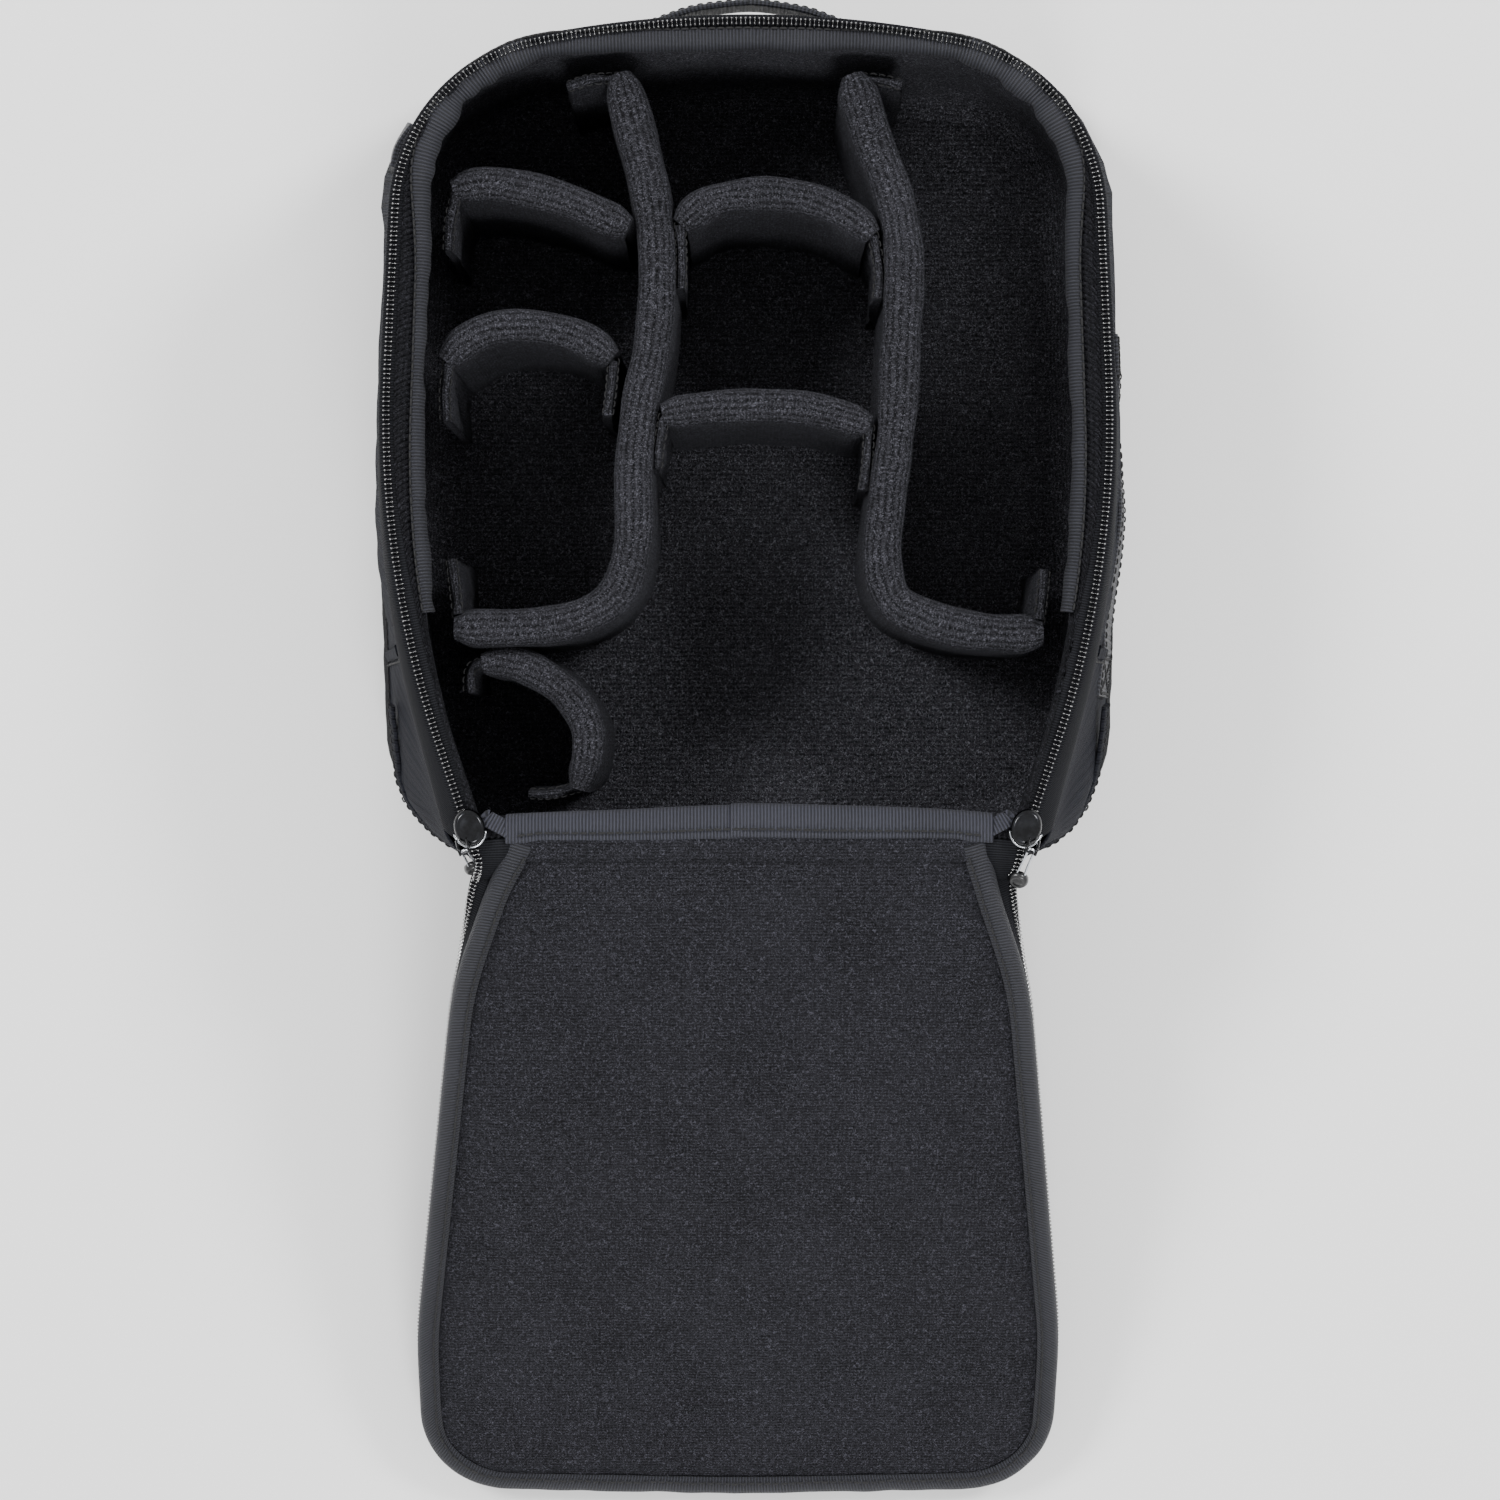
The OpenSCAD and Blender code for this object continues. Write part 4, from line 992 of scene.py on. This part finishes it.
def drape(obj, pinned, pressure=0.0, grow=0.0, cap=1.5):
    """Cloth simulation: sewn points are held, the rest settles, and no point moves over cap millimetres.

    pinned gives 1 for each point that is sewn down and 0 for each that is free; grow is slack cloth.
    """
    mesh = obj.data
    group = obj.vertex_groups.new(name="sewn")
    for value in np.unique(np.round(pinned, 2)):
        if value > 0:
            group.add(np.flatnonzero(np.round(pinned, 2) == value).tolist(), float(value), "REPLACE")
    cloth = obj.modifiers.new("drape", "CLOTH")
    obj.modifiers.move(len(obj.modifiers) - 1, 0)
    settings = cloth.settings
    settings.quality, settings.mass = 6, 0.15
    settings.tension_stiffness = settings.compression_stiffness = settings.shear_stiffness = CLOTH_STIFFNESS
    settings.bending_stiffness = 0.02
    settings.vertex_group_mass = "sewn"
    settings.shrink_min = -grow
    settings.use_pressure = pressure > 0
    settings.uniform_pressure_force = pressure
    cloth.collision_settings.use_collision = False
    cloth.point_cache.frame_start, cloth.point_cache.frame_end = 1, DRAPE_FRAMES
    for other in obj.modifiers:
        other.show_viewport = other == cloth
    for frame_number in range(1, DRAPE_FRAMES + 1):
        bpy.context.scene.frame_set(frame_number)
    evaluated = obj.evaluated_get(bpy.context.evaluated_depsgraph_get())
    start, end = np.empty(len(mesh.vertices) * 3), np.empty(len(mesh.vertices) * 3)
    mesh.vertices.foreach_get("co", start)
    evaluated.data.vertices.foreach_get("co", end)
    obj.modifiers.remove(cloth)
    for other in obj.modifiers:
        other.show_viewport = True
    obj.vertex_groups.clear()
    bpy.context.scene.frame_set(1)
    start, move = start.reshape(-1, 3), (end - start).reshape(-1, 3)
    far = np.linalg.norm(move, axis=1, keepdims=True)
    move = np.nan_to_num(move) * np.minimum(1, cap * MM / np.maximum(far, 1e-9))
    mesh.vertices.foreach_set("co", (start + move).ravel())
    mesh.update()
    return obj


def divider(name, seed):
    """A foam strip in a knit sleeve: rounded top edges, sides that swell a little, thin hook wings."""
    thick, lower, points = ROUTES[name]
    height = DIVIDER_H - lower
    path = spline(points, 2.6)
    s = lengths(path)
    section = profile(thick, height, 5.4, 3.6, arc=5)
    rings = np.repeat(section[None], len(path), 0)
    across, up = rings[..., 0], rings[..., 1]
    level = (up + height / 2) / height
    swell = 1 + 0.04 * np.sin(math.pi * level) + 0.07 * ripple(s[:, None], up, seed, 36)
    end = np.clip(np.minimum(s, s[-1] - s) / 8, 0, 1)[:, None]
    across = across * swell * (0.6 + 0.4 * np.sin(end * math.pi / 2))
    sag = (1.1 * ripple(s[:, None], 0 * up, seed + 1, 48) - 1.0) * np.clip(level * 2 - 1, 0, 1)
    rings = np.stack([across, up + sag], -1)
    middle = lift(path, DIVIDER_Z + height / 2)
    body = sweep(f"divider_{name}_pad", middle, (0, 0, 1), rings, divider_knit)
    foot = np.zeros(len(body.data.vertices))
    foot[: rings[..., 1].size] = (level < 0.1).ravel()
    drape(body, foot, pressure=1.5, grow=0.035, cap=1.3)
    soften(body)
    carrier = "lift_" + name
    settle(body, carrier, "knit_lining", [f"divider_{name}", f"divider_{name}_foam"])
    fuzz(f"divider_{name}_fuzz", body, 9, seed + 2, carrier, "knit_lining")
    for i, wing in enumerate(WINGS[name]):
        wing_path = spline(wing, 2.5)
        reach = lengths(wing_path) / lengths(wing_path)[-1]
        droop = 1.0 + 4.0 * reach**2
        wing_h = height - 3
        flap = profile(3.4, wing_h, 1.6, 5, arc=3)
        flaps = np.repeat(flap[None], len(wing_path), 0)
        flaps[..., 1] -= droop[:, None] * (flaps[..., 1] > 0)
        flaps[..., 0] *= 1 + 0.25 * ripple(reach[:, None] * 20, flaps[..., 1], seed + i, 18)
        made = sweep(f"divider_{name}_wing_{i + 1}", lift(wing_path, DIVIDER_Z + wing_h / 2), (0, 0, 1),
                     flaps,
                     divider_knit)
        held = np.repeat(np.clip(1 - reach * 4, 0, 1), flaps.shape[1])
        drape(made, held, grow=0.03, cap=1.2)
        settle(soften(made), carrier, "knit_lining")
        tip = np.column_stack([wing_path, np.full(len(wing_path), DIVIDER_Z + wing_h)])
        tip[:, 2] -= droop + 2.2
        tip = tip[: max(3, len(tip) - 1)]
        t = unit(np.gradient(tip[:, :2], axis=0))
        out = np.column_stack([-t[:, 1], t[:, 0], 0 * t[:, 0]])
        for sign in (-1, 1):
            stitches(f"divider_{name}_wing_{i + 1}_stitches_{'ab'[sign > 0]}", tip + out * sign * 1.75,
                     out * sign,
                     carrier, "knit_lining", 3.0)


# ---- Hinge and lid ----


def hinge():
    """The ribbon over the fold, its join and stitches."""
    x = np.linspace(-HINGE_HALF - 2, HINGE_HALF + 3, 90)
    wave = 1.0 * np.sin(x / 31 + 0.7) + 0.6 * np.sin(x / 13 + 2)
    arch = 3.2 * (1 - (x / HINGE_HALF) ** 2)
    upper, lower = HINGE_Y + 9.6 + arch * 0.9 + 0.4 * wave, HINGE_Y - 0.8 + 0.5 * wave
    lower = lower - 1.2 * smooth((np.abs(x) - 76) / 8)
    top = MOUTH_Z - 0.1 + 0.25 * wave
    rows = []
    for share, rise in ((0.0, -2.2), (0.03, -0.7), (0.12, 0.2), (0.35, 0.45), (0.62, 0.6), (0.85, 0.2),
                        (0.97, -1.2),
                        (1.0, -4.0)):
        rows.append(np.column_stack([x, mix(lower, upper, share), top + rise - 0.6]))
    join = int(0.46 * len(x))
    left = surface("hinge_ribbon_left", [r[: join + 3] for r in rows], grosgrain, thickness=0.6)
    right_rows = [r[join:] + [0, 0.5, 0.7] for r in rows]
    right = surface("hinge_ribbon_right", right_rows, grosgrain, thickness=0.6)
    settle(soften(left), "shell", "binding", ["hinge_binding"])
    settle(soften(right), "shell", "binding", ["hinge_fold"])
    line = np.column_stack([x, mix(lower, upper, 0.3), top + 0.35])[3:-3]
    line[join:, 2] += 0.7
    stitches("hinge_ribbon_stitches", line, (0, 0, 1), "shell")


def lid_web():
    """The strip of lining that bends over the fold from the shell to the lid."""
    y = np.array([3.0, 1.0, -1.0, -3.0, -5.0, -7.0, -9.5])
    x = np.linspace(-HINGE_HALF + 2, HINGE_HALF - 2, 60)
    rows = []
    for value in y[::-1]:
        point = lid_point(x, np.full_like(x, value), 0.0)
        if value > 0:
            point = np.column_stack([x, x * 0 + HINGE_Y + value, x * 0 + MOUTH_Z - 0.5])
        point[:, 2] -= 0.9
        rows.append(point)
    web = surface("lid_fold_cloth", rows, lid_knit, thickness=1.6)
    bpy.context.view_layer.update()
    return web


def dip(y):
    """How far the lid's inner face sinks beside the fold, to leave room for the ribbon when shut."""
    return 1.7 * smooth((y + 19) / 7)


def beside_fold(y):
    """1 near the fold, where the lid's zip lies beside its edge, and 0 where it lies on the cover."""
    return 1 - smooth((-y - 5) / 58)


def lid_zip_place(near):
    """How far the lid's zip is outside the edge, and how high, from beside the fold to the flanks."""
    return mix(0.2, 6.6, near), mix(-10.0, -3.0, near)


def zip_bridges():
    """The ends of the lid's zip tape and coil, which bend from the sliders round to the lid's flanks."""
    made = []
    flank = right_half(LID)
    for name, side in SIDES.items():
        y_low = flank[flank[:, 1] < -13, 1].max() - 0.4
        x_low = float(np.interp(y_low, flank[:, 1], flank[:, 0]))
        out, height = lid_zip_place(beside_fold(y_low))
        end = lid_point(side * (x_low + out), y_low, height)
        foot = lid_point(side * (x_low - 0.5), y_low, -3.4)
        chain = spline([(side * 101.6, -148.6, 122.4), (side * 101.0, -152.5, 121.6),
                        (side * 100.0, -157.5, 118.9), end], 1.0)
        inner = spline([(side * 88.0, -147.5, 122.6), (side * 88.4, -151.5, 122.0),
                        (side * 89.5, -156.5, 119.4), foot], 1.0)
        n = min(len(chain), len(inner))
        chain, inner = divided(chain, n), divided(inner, n)
        rows = [mix(inner, chain, t) - [0, 0, 0.9] for t in (0.0, 0.35, 0.7, 0.85, 1.15)]
        tape = surface(f"zip_bridge_tape_{name}", rows, zip_tape, thickness=0.6, offset=0)
        up = np.array([0.0, -math.sin(LID_ANGLE / 2), math.cos(LID_ANGLE / 2)])
        teeth = along(f"zip_bridge_coil_{name}", chain, up, TOOTH_PITCH, TOOTH, coil, 0.05)
        made += [tape, teeth]
    return made


# The lid's edge from one end of the fold round to the other, and the puckers at its free end.
LID_ORDER = np.roll(np.arange(len(LID)), -(len(LID_HALF) * PER_VERTEX + ARC_STEPS // 2))
LID_ORDER = [i for i in LID_ORDER if LID[i, 1] < 8]
LID_PUCKER = ripple(lengths(LID), 0 * LID[:, 0], 31, 14) * np.clip((-LID[:, 1] - 235) / 30, 0, 1)


def lid_lining():
    """The lid's inner face: a gently crowned panel, drawn down where the ribbon is sewn over its edge."""
    edge = right_half(inset(LID, 6))
    far = edge[:, 1].min()
    rows = []
    for y in np.concatenate([np.linspace(-1.5, -240, 60), np.linspace(-242, far + 0.3, 24)]):
        half = np.interp(y, edge[:, 1], edge[:, 0])
        x = half * np.linspace(-1, 1, 61)
        gap = np.minimum(half - np.abs(x), min(-y, y - far))
        crown = 1.7 * smooth(gap / 9) - 1.2 - dip(y) + 0.5 * ripple(x, x * 0 + y, 33, 80) * smooth(gap / 20)
        rows.append(lid_point(x, y, crown))
    panel = surface("lid_lining_panel", rows[::-1], lid_knit)
    lay_flat(panel, LID_ANGLE)
    thicken(panel, 1.4)
    settle(soften(panel), "lid", "lid_knit", ["lid_lining"])


def lid_cover():
    """The lid's outer fabric: a band turned up round the edge, and the panel of its back."""

    def ring(d, h, start=-6.0):
        loop = inset(LID, d)
        return lid_point(loop[:, 0], np.minimum(loop[:, 1], start), h)

    rows = [ring(1.2, -2.5), ring(0.4, -4.5), ring(0.2, -8.0), ring(0.9, -11.0, -20), ring(3.4, -12.6, -25),
            ring(9, -13.0, -26)]
    cover = surface("lid_cover_fabric", rows[::-1], ottoman, closed=True)
    low = inset(LID, 7.5)
    low = low[low[:, 1] < -23]
    rows = [
        lid_point(x, y, -12.7 - 0.6 * smooth(gap / 8) - 0.4 * smooth(gap / 60) + 0.3 * ripple(x, y, 35, 70))
        for x, y, gap in panel_grid(low, 40, 50)
    ]
    back = surface("lid_cover_panel", rows, ottoman, thickness=1.2)
    settle(soften(back), "lid", "gusset_fabric")
    thicken(cover, 1.2)
    settle(soften(cover), "lid", "gusset_fabric", ["lid_cover", "lid_board", "lid_foam"])


def lid_binding():
    """Ribbon folded over the lid's edge, from one end of the fold round to the other."""
    widen = 0.4 + 1.6 * smooth((LID[:, 1] + 22) / 22)
    section = [(8.0, -0.2), (7.6, 0.8), (5.4, 1.5), (2.4, 1.4), (0.4, 0.4), (-0.5, -1.6), (-0.2, -4.2),
               (1.0, -5.6)]
    rows = []
    for d, h in section:
        loop = inset(LID, d + (0.5 * LID_PUCKER + widen) * smooth((d - 2) / 5))[LID_ORDER]
        line = lid_point(*loop.T, h + (0.55 * LID_PUCKER)[LID_ORDER] - dip(loop[:, 1]))[loop[:, 1] < -0.6]
        rows.append(divided(line, len(LID_ORDER)))
    binding = surface("lid_ribbon", rows[::-1], dark_grosgrain, thickness=0.5)
    settle(soften(binding), "lid", "binding", ["lid_binding"])
    loop = inset(LID, 6.0 + widen)[LID_ORDER]
    line = lid_point(*loop.T, 1.75 + (0.55 * LID_PUCKER)[LID_ORDER] - dip(loop[:, 1]))[loop[:, 1] < -5]
    normal = (0, -math.sin(LID_ANGLE), math.cos(LID_ANGLE))
    stitches("lid_ribbon_stitches", line, normal, "lid")


def lid_zip():
    """The lid's zip: beside the edge near the fold, and turned down against the cover further out."""
    order = [i for i in LID_ORDER if LID[i, 1] < -13]
    near = beside_fold(LID[order, 1])
    outward = (LID - inset(LID, 1))[order]
    face = outward * (1 - near)[:, None]
    c, s = math.cos(LID_ANGLE), math.sin(LID_ANGLE)
    upward = np.column_stack([face, near]) @ np.array([[1, 0, 0], [0, c, s], [0, -s, c]])
    out, height = lid_zip_place(near)
    path = lid_point(*(LID[order] + outward * out[:, None]).T, height)
    teeth = along("lid_zip_coil", path[::-1], unit(upward)[::-1], TOOTH_PITCH, TOOTH, coil, 0.05)
    settle(teeth, "lid", "zip_chain", ["lid_zip_chain"])
    rows = []
    for share in (0.0, 0.35, 0.7, 0.85, 1.0):
        flat = LID[order] + outward * mix(mix(-0.2, 0.2, share), mix(-0.5, 9.0, share), near)[:, None]
        rows.append(lid_point(*flat.T, mix(mix(-4.0, -12.4, share), mix(-4.2, -4.0, share), near)))
    tape = surface("lid_zip_tape_strip", rows, zip_tape, thickness=0.6, offset=0)
    settle(soften(tape), "lid", "zip_tape", ["lid_zip_tape"])


# ---- Handles, tabs and sliders ----


def strap_path(name, run, face, low_run, high_run, steps):
    """The middle line of a strap node and its outward direction, read off the plain solid."""
    points = np.array([v.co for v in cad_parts[name].data.vertices]) / MM
    points = points[(points[:, run] > low_run - 0.5) & (points[:, run] < high_run + 0.5)]
    low, high = points[:, 2].min(), points[:, 2].max()
    at = np.linspace(low_run, high_run, steps)
    sides = []
    for z in (low, high):
        level = points[np.abs(points[:, 2] - z) < 0.05]
        values = np.unique(np.round(level[:, run], 1))
        faces = [level[np.abs(level[:, run] - v) < 0.3][:, face] for v in values]
        sides.append(np.interp(at, values, [(f.max() + f.min()) / 2 for f in faces]))
    path, out = np.zeros((steps, 3)), np.zeros((steps, 3))
    path[:, run], path[:, face], path[:, 2] = at, (sides[0] + sides[1]) / 2, (low + high) / 2
    out[:, face], out[:, 2] = 1.0, -(sides[1] - sides[0]) / (high - low)
    return path, unit(out), high - low


def handle(name, run):
    """A webbing grab handle that bows out from the wall, with both ends sewn down in a crossed box.

    run is the axis that it runs along, 0 for x and 1 for y.
    """
    face = 1 - run
    low, high = (np.array(v)[run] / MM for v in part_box(name))
    path, out, width = strap_path(name, run, face, low, high, 45)
    upright = np.cross(out, unit(np.gradient(path, axis=0)))
    upright *= np.sign(upright[:, 2:])
    wave = ripple(path[:, run], 0 * path[:, run], 61, 40) * 0.35 + (1.8 if run == 0 else -2.6)
    path = path + out * (0.3 + wave[:, None] * smooth(1 - np.abs(np.linspace(-1, 1, 45)) ** 4)[:, None])
    # Each half twists from its sewn end to the middle, where both follow the handle's own body.
    for half, part in (("first", slice(0, 24)), ("second", slice(44, 20, -1))):
        strap = sweep(f"{name}_webbing_{half}", path[part], out[part],
                      profile(width, 2.4, 1.0, 2.4, arc=3), webbing)
        pieces = [soften(outwards(strap))]
        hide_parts(name)
        for label, z in (("low", -width / 2 + 2.4), ("high", width / 2 - 2.4)):
            line = (path + upright * z + out * 1.25)[part][:-1]
            pieces.append(along(f"{name}_stitches_{label}_{half}", line, out[part][:-1], 3.6, STITCH,
                                thread, 0.08))
        for piece in pieces:
            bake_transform(piece)
    parts = []
    low_all, high_all = (np.array(v)[run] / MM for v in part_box(name + "_anchors"))
    for label, a, b in (("first", low_all, low - 0.2), ("second", high + 0.2, high_all)):
        path, out, width = strap_path(name + "_anchors", run, face, a, b, 6)
        upright = np.array([0, 0, 1.0]) - out * out[:, 2:]
        parts.append(sweep(f"{name}_end_{label}", path, out, profile(width, 2.4, 1.0, 2.4, arc=3), webbing))
        top = path + out * 1.25
        box = [(0.08, -0.42), (0.92, -0.42), (0.92, 0.42), (0.08, 0.42), (0.08, -0.42), (0.92, 0.42),
               (0.08, 0.42),
               (0.92, -0.42)]
        corner = [mix(top[0], top[-1], f) + upright[0] * width * g for f, g in box]
        stitches(f"{name}_end_{label}_stitches", resample(np.array(corner), 1.0), out[0], "shell",
                 "webbing", 2.8)
    settle(joined(f"{name}_ends", parts), "shell", "webbing", [name + "_anchors"])


def side_loop():
    """The short ribbed loop on the left shoulder that is held while the zip is pulled."""
    low, high = (np.array(v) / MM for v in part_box("side_tab"))
    path, out, width = strap_path("side_tab", 1, 0, low[1], high[1], 15)
    out = -out * np.sign(out[:, :1]) * [1, 1, 1]
    t = np.linspace(-1, 1, 15)
    path = path - out * (0.9 + 1.6 * (1 - t**2))[:, None]
    loop = sweep("shoulder_tab", path, out, profile(width, 4.6, 1.0, 2.0, arc=3), webbing)
    settle(soften(loop), "shell", "tab_rubber", ["side_tab"])


def end_tabs():
    """A short ribbon folded over each end of the zip, beside the hinge."""
    parts = []
    for side in (-1, 1):
        x = np.array([87.5, 89.0, 91.5, 94.2, 96.6, 97.4, 96.2])
        y = np.array([-145.4, -144.4, -143.0, -141.6, -140.4, -139.8, -140.2])
        z = np.array([121.8, 122.6, 123.2, 123.2, 122.6, 121.6, 120.8])
        path = resample(np.column_stack([side * x, y, z]), 0.9)
        up = unit(np.array([0.0, 0.35, 1.0]))
        parts.append(sweep(f"zip_end_tab_{side}", path, up, profile(6.4, 1.1, 0.5, 1.4, arc=2), grosgrain))
    settle(soften(joined("zip_end_ribbons", parts)), "shell", "binding", ["zip_end_tabs"])


# The sliders sit a little way up the zip's straight lower flanks, turned along them.
SLIDER_UP = 9.5
CHAIN_END, FLANK_END = np.array(ZIP_HALF[0][:2]), np.array(ZIP_HALF[1][:2])
FLANK_WAY = unit(FLANK_END - CHAIN_END)
SLIDER_TURN = math.atan2(FLANK_WAY[1], FLANK_WAY[0]) - math.pi / 2
SLIDER_X, SLIDER_Y = CHAIN_END + SLIDER_UP * FLANK_WAY


def on_slider(points, side):
    """Points of a slider's own frame (x to the mouth, y up the flank, z off the tape) in the bag's."""
    p = np.asarray(points, float)
    c, s = math.cos(SLIDER_TURN), math.sin(SLIDER_TURN)
    x = SLIDER_X - p[..., 0] * c - p[..., 1] * s
    y = SLIDER_Y - p[..., 0] * s + p[..., 1] * c
    return np.stack([side * x, y, MOUTH_Z - CHAIN_H / 2 + p[..., 2]], -1)


def lathe(name, rings, place, material, squash=1.0):
    """A closed round form from (radius, height) rings; place maps its points to the bag's frame."""
    count = 28
    a = np.linspace(0, math.tau, count, endpoint=False)
    points = [np.column_stack([r * np.cos(a) * squash, r * np.sin(a), 0 * a + h]) for r, h in rings]
    faces = [
        (j * count + i, j * count + (i + 1) % count, (j + 1) * count + (i + 1) % count, (j + 1) * count + i)
        for j in range(len(rings) - 1)
        for i in range(count)
    ]
    faces.append(tuple(range(count))[::-1])
    faces.append(tuple(range((len(rings) - 1) * count, len(rings) * count)))
    return outwards(build(name, place(np.concatenate(points)), faces, None, material))


def slider(name, side):
    """A locking slider: domed cover over the chain, a plate under it, a bail and a bright wire."""
    top = [(0.1, 1.7), (6.3, 1.7), (6.9, 2.0), (7.0, 2.6), (6.6, 3.4), (5.6, 4.1), (4.9, 4.3), (4.5, 4.1),
           (3.9, 4.2),
           (2.2, 4.5), (0.1, 4.6)]
    bottom = [(0.1, -3.0), (6.4, -3.0), (6.9, -2.7), (6.9, -2.1), (6.5, -1.8), (0.1, -1.8)]
    shift = np.array([1.2, 0, 0])
    parts = [
        lathe(f"slider_{name}_cover", top, lambda p: on_slider(p + shift, side), gunmetal, 0.82),
        lathe(f"slider_{name}_plate", bottom, lambda p: on_slider(p + shift, side), gunmetal, 0.6),
    ]
    post = on_slider([(4.4, y, 0) for y in (-4, -1.3, 1.3, 4)], side)
    parts.append(outwards(sweep(f"slider_{name}_post", post, (0, 0, 1),
                                profile(1.3, 4.4, 0.3, 1.0, arc=2), gunmetal)))
    for x in (-4.9, -1.1):
        cheek = on_slider(spline([(x, -3.5, 3.2), (x, -5.4, 4.9), (x, -7.2, 5.9), (x, -8.6, 5.4)], 0.8),
                          side)
        parts.append(outwards(sweep(f"slider_{name}_bail", cheek, (0, 0, 1),
                                    profile(1.0, 1.9, 0.45, 0.6, arc=2),
                                    gunmetal)))
    pin = on_slider([(-5.4, -8, 5.4), (-3.8, -8, 5.4), (-2.2, -8, 5.4), (-0.6, -8, 5.4)], side)
    parts.append(outwards(sweep(f"slider_{name}_pin", pin, (0, 0, 1), profile(1.5, 1.5, 0.7, 0.5, arc=3),
                                gunmetal)))
    settle(joined(f"slider_{name}_body", parts), "shell", "slider_metal", [f"slider_{name}"])
    turn = np.linspace(math.radians(185), math.radians(335), 30)
    wire = on_slider(np.column_stack([1.0 + 6.1 * np.cos(turn), 7.4 * np.sin(turn), 2.5 + 0 * turn]), side)
    made = outwards(sweep(f"slider_{name}_wire", wire, (0, 0, 1), profile(0.75, 0.75, 0.36, 0.4, arc=3),
                          steel_wire))
    settle(made, "shell", "slider_metal")


def pull(name, side, drop):
    """The pull: a wire loop that hangs from the slider's pin at drop degrees, and its domed knob."""
    c, s = math.cos(math.radians(drop)), math.sin(math.radians(drop))

    def place(p):
        p = np.asarray(p, float)
        turned = np.stack([p[..., 0] - 3, -8 + p[..., 1] * c - p[..., 2] * s,
                           5.4 + p[..., 1] * s + p[..., 2] * c], -1)
        return on_slider(turned, side)

    half = [(0, 1.5, 0), (0.7, 1.35, 0), (1.15, 0.7, 0), (1.2, 0, 0), (1.2, -3, 0), (1.25, -8, 0),
            (1.5, -13.4, 0)]
    loop = spline([(-x, y, z) for x, y, z in half[:0:-1]] + half, 0.5)
    wire = outwards(sweep(f"pull_{name}_wire", place(loop),
                          place([(0, 0, 1.0)])[0] - place([(0, 0, 0.0)])[0],
                          profile(0.95, 0.95, 0.45, 0.4, arc=3), steel_wire))
    rings = [(0.1, -1.7), (3.0, -1.7), (3.7, -1.2), (3.85, -0.3), (3.75, 0.6), (3.3, 1.3), (2.7, 1.6),
             (2.4, 1.45),
             (1.6, 1.75), (0.8, 1.9), (0.1, 1.95)]
    knob = lathe(f"pull_{name}_knob", rings, lambda p: place(p + [0, -17, 0]), knob_resin)
    settle(joined(f"pull_{name}_body", [knob, wire]), f"pull_{name}", "slider_metal", [f"pull_{name}"])


# ---- Make everything ----

gusset()
base_rim()
mouth_zip()
mouth_facing()
mouth_ribbon()
lining()
for i, name in enumerate(ROUTES):
    divider(name, 40 + 3 * i)
hinge()
web = lid_web()
lid_lining()
lid_cover()
lid_binding()
lid_zip()
handle("top_handle", 0)
handle("side_handle", 1)
side_loop()
end_tabs()
for name, drop in (("right", 48), ("left", 66)):
    slider(name, SIDES[name])
    pull(name, SIDES[name], drop)
for cloth_end in [web] + zip_bridges():
    tuple(float(c) * MM for c in lid_point(0, -9.0, 0))
    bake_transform(cloth_end)
for template in templates:
    bpy.data.objects.remove(template)

# ---- Floor, light and camera ----

floor_mesh = bpy.data.meshes.new("studio_floor")
floor_mesh.from_pydata([(-6, -6, 0), (6, -6, 0), (6, 6, 0), (-6, 6, 0)], [], [(0, 1, 2, 3)])
floor = bpy.data.objects.new("studio_floor", floor_mesh)
bpy.context.scene.collection.objects.link(floor)
floor_mesh.materials.append(blank("matt paper, white", Base_Color=linear("#f6f6f6"), Roughness=0.9)[0])

world = bpy.data.worlds.new("studio")
world.use_nodes = True
world.node_tree.nodes["Background"].inputs["Color"].default_value = linear("#ffffff")
world.node_tree.nodes["Background"].inputs["Strength"].default_value = 0.95
bpy.context.scene.world = world

# Large soft boxes round the camera: size and distance in metres, power in watts.
for name, place, size, power in (
    ("light_left", (-1.3, 0.7, 1.7), 0.7, 40),
    ("light_right", (1.4, 0.8, 1.6), 0.6, 34),
    ("light_front", (0.3, -1.6, 1.6), 0.7, 26),
):
    data = bpy.data.lights.new(name, "AREA")
    data.shape, data.size, data.energy = "DISK", size, power
    lamp = bpy.data.objects.new(name, data)
    lamp.location = place
    lamp.rotation_euler = (Vector((0, -0.1, 0.05)) - Vector(place)).to_track_quat("-Z", "Y").to_euler()
    bpy.context.scene.collection.objects.link(lamp)

CAMERA_HEIGHT, CAMERA_X, CAMERA_Y = 1.3, 0.0008, -0.115
camera_data = bpy.data.cameras.new("camera")
camera_data.sensor_width = 36.0
camera_data.lens = 76.3
camera = bpy.data.objects.new("camera", camera_data)
camera.location = (CAMERA_X, CAMERA_Y, CAMERA_HEIGHT)
bpy.context.scene.collection.objects.link(camera)
bpy.context.scene.camera = camera
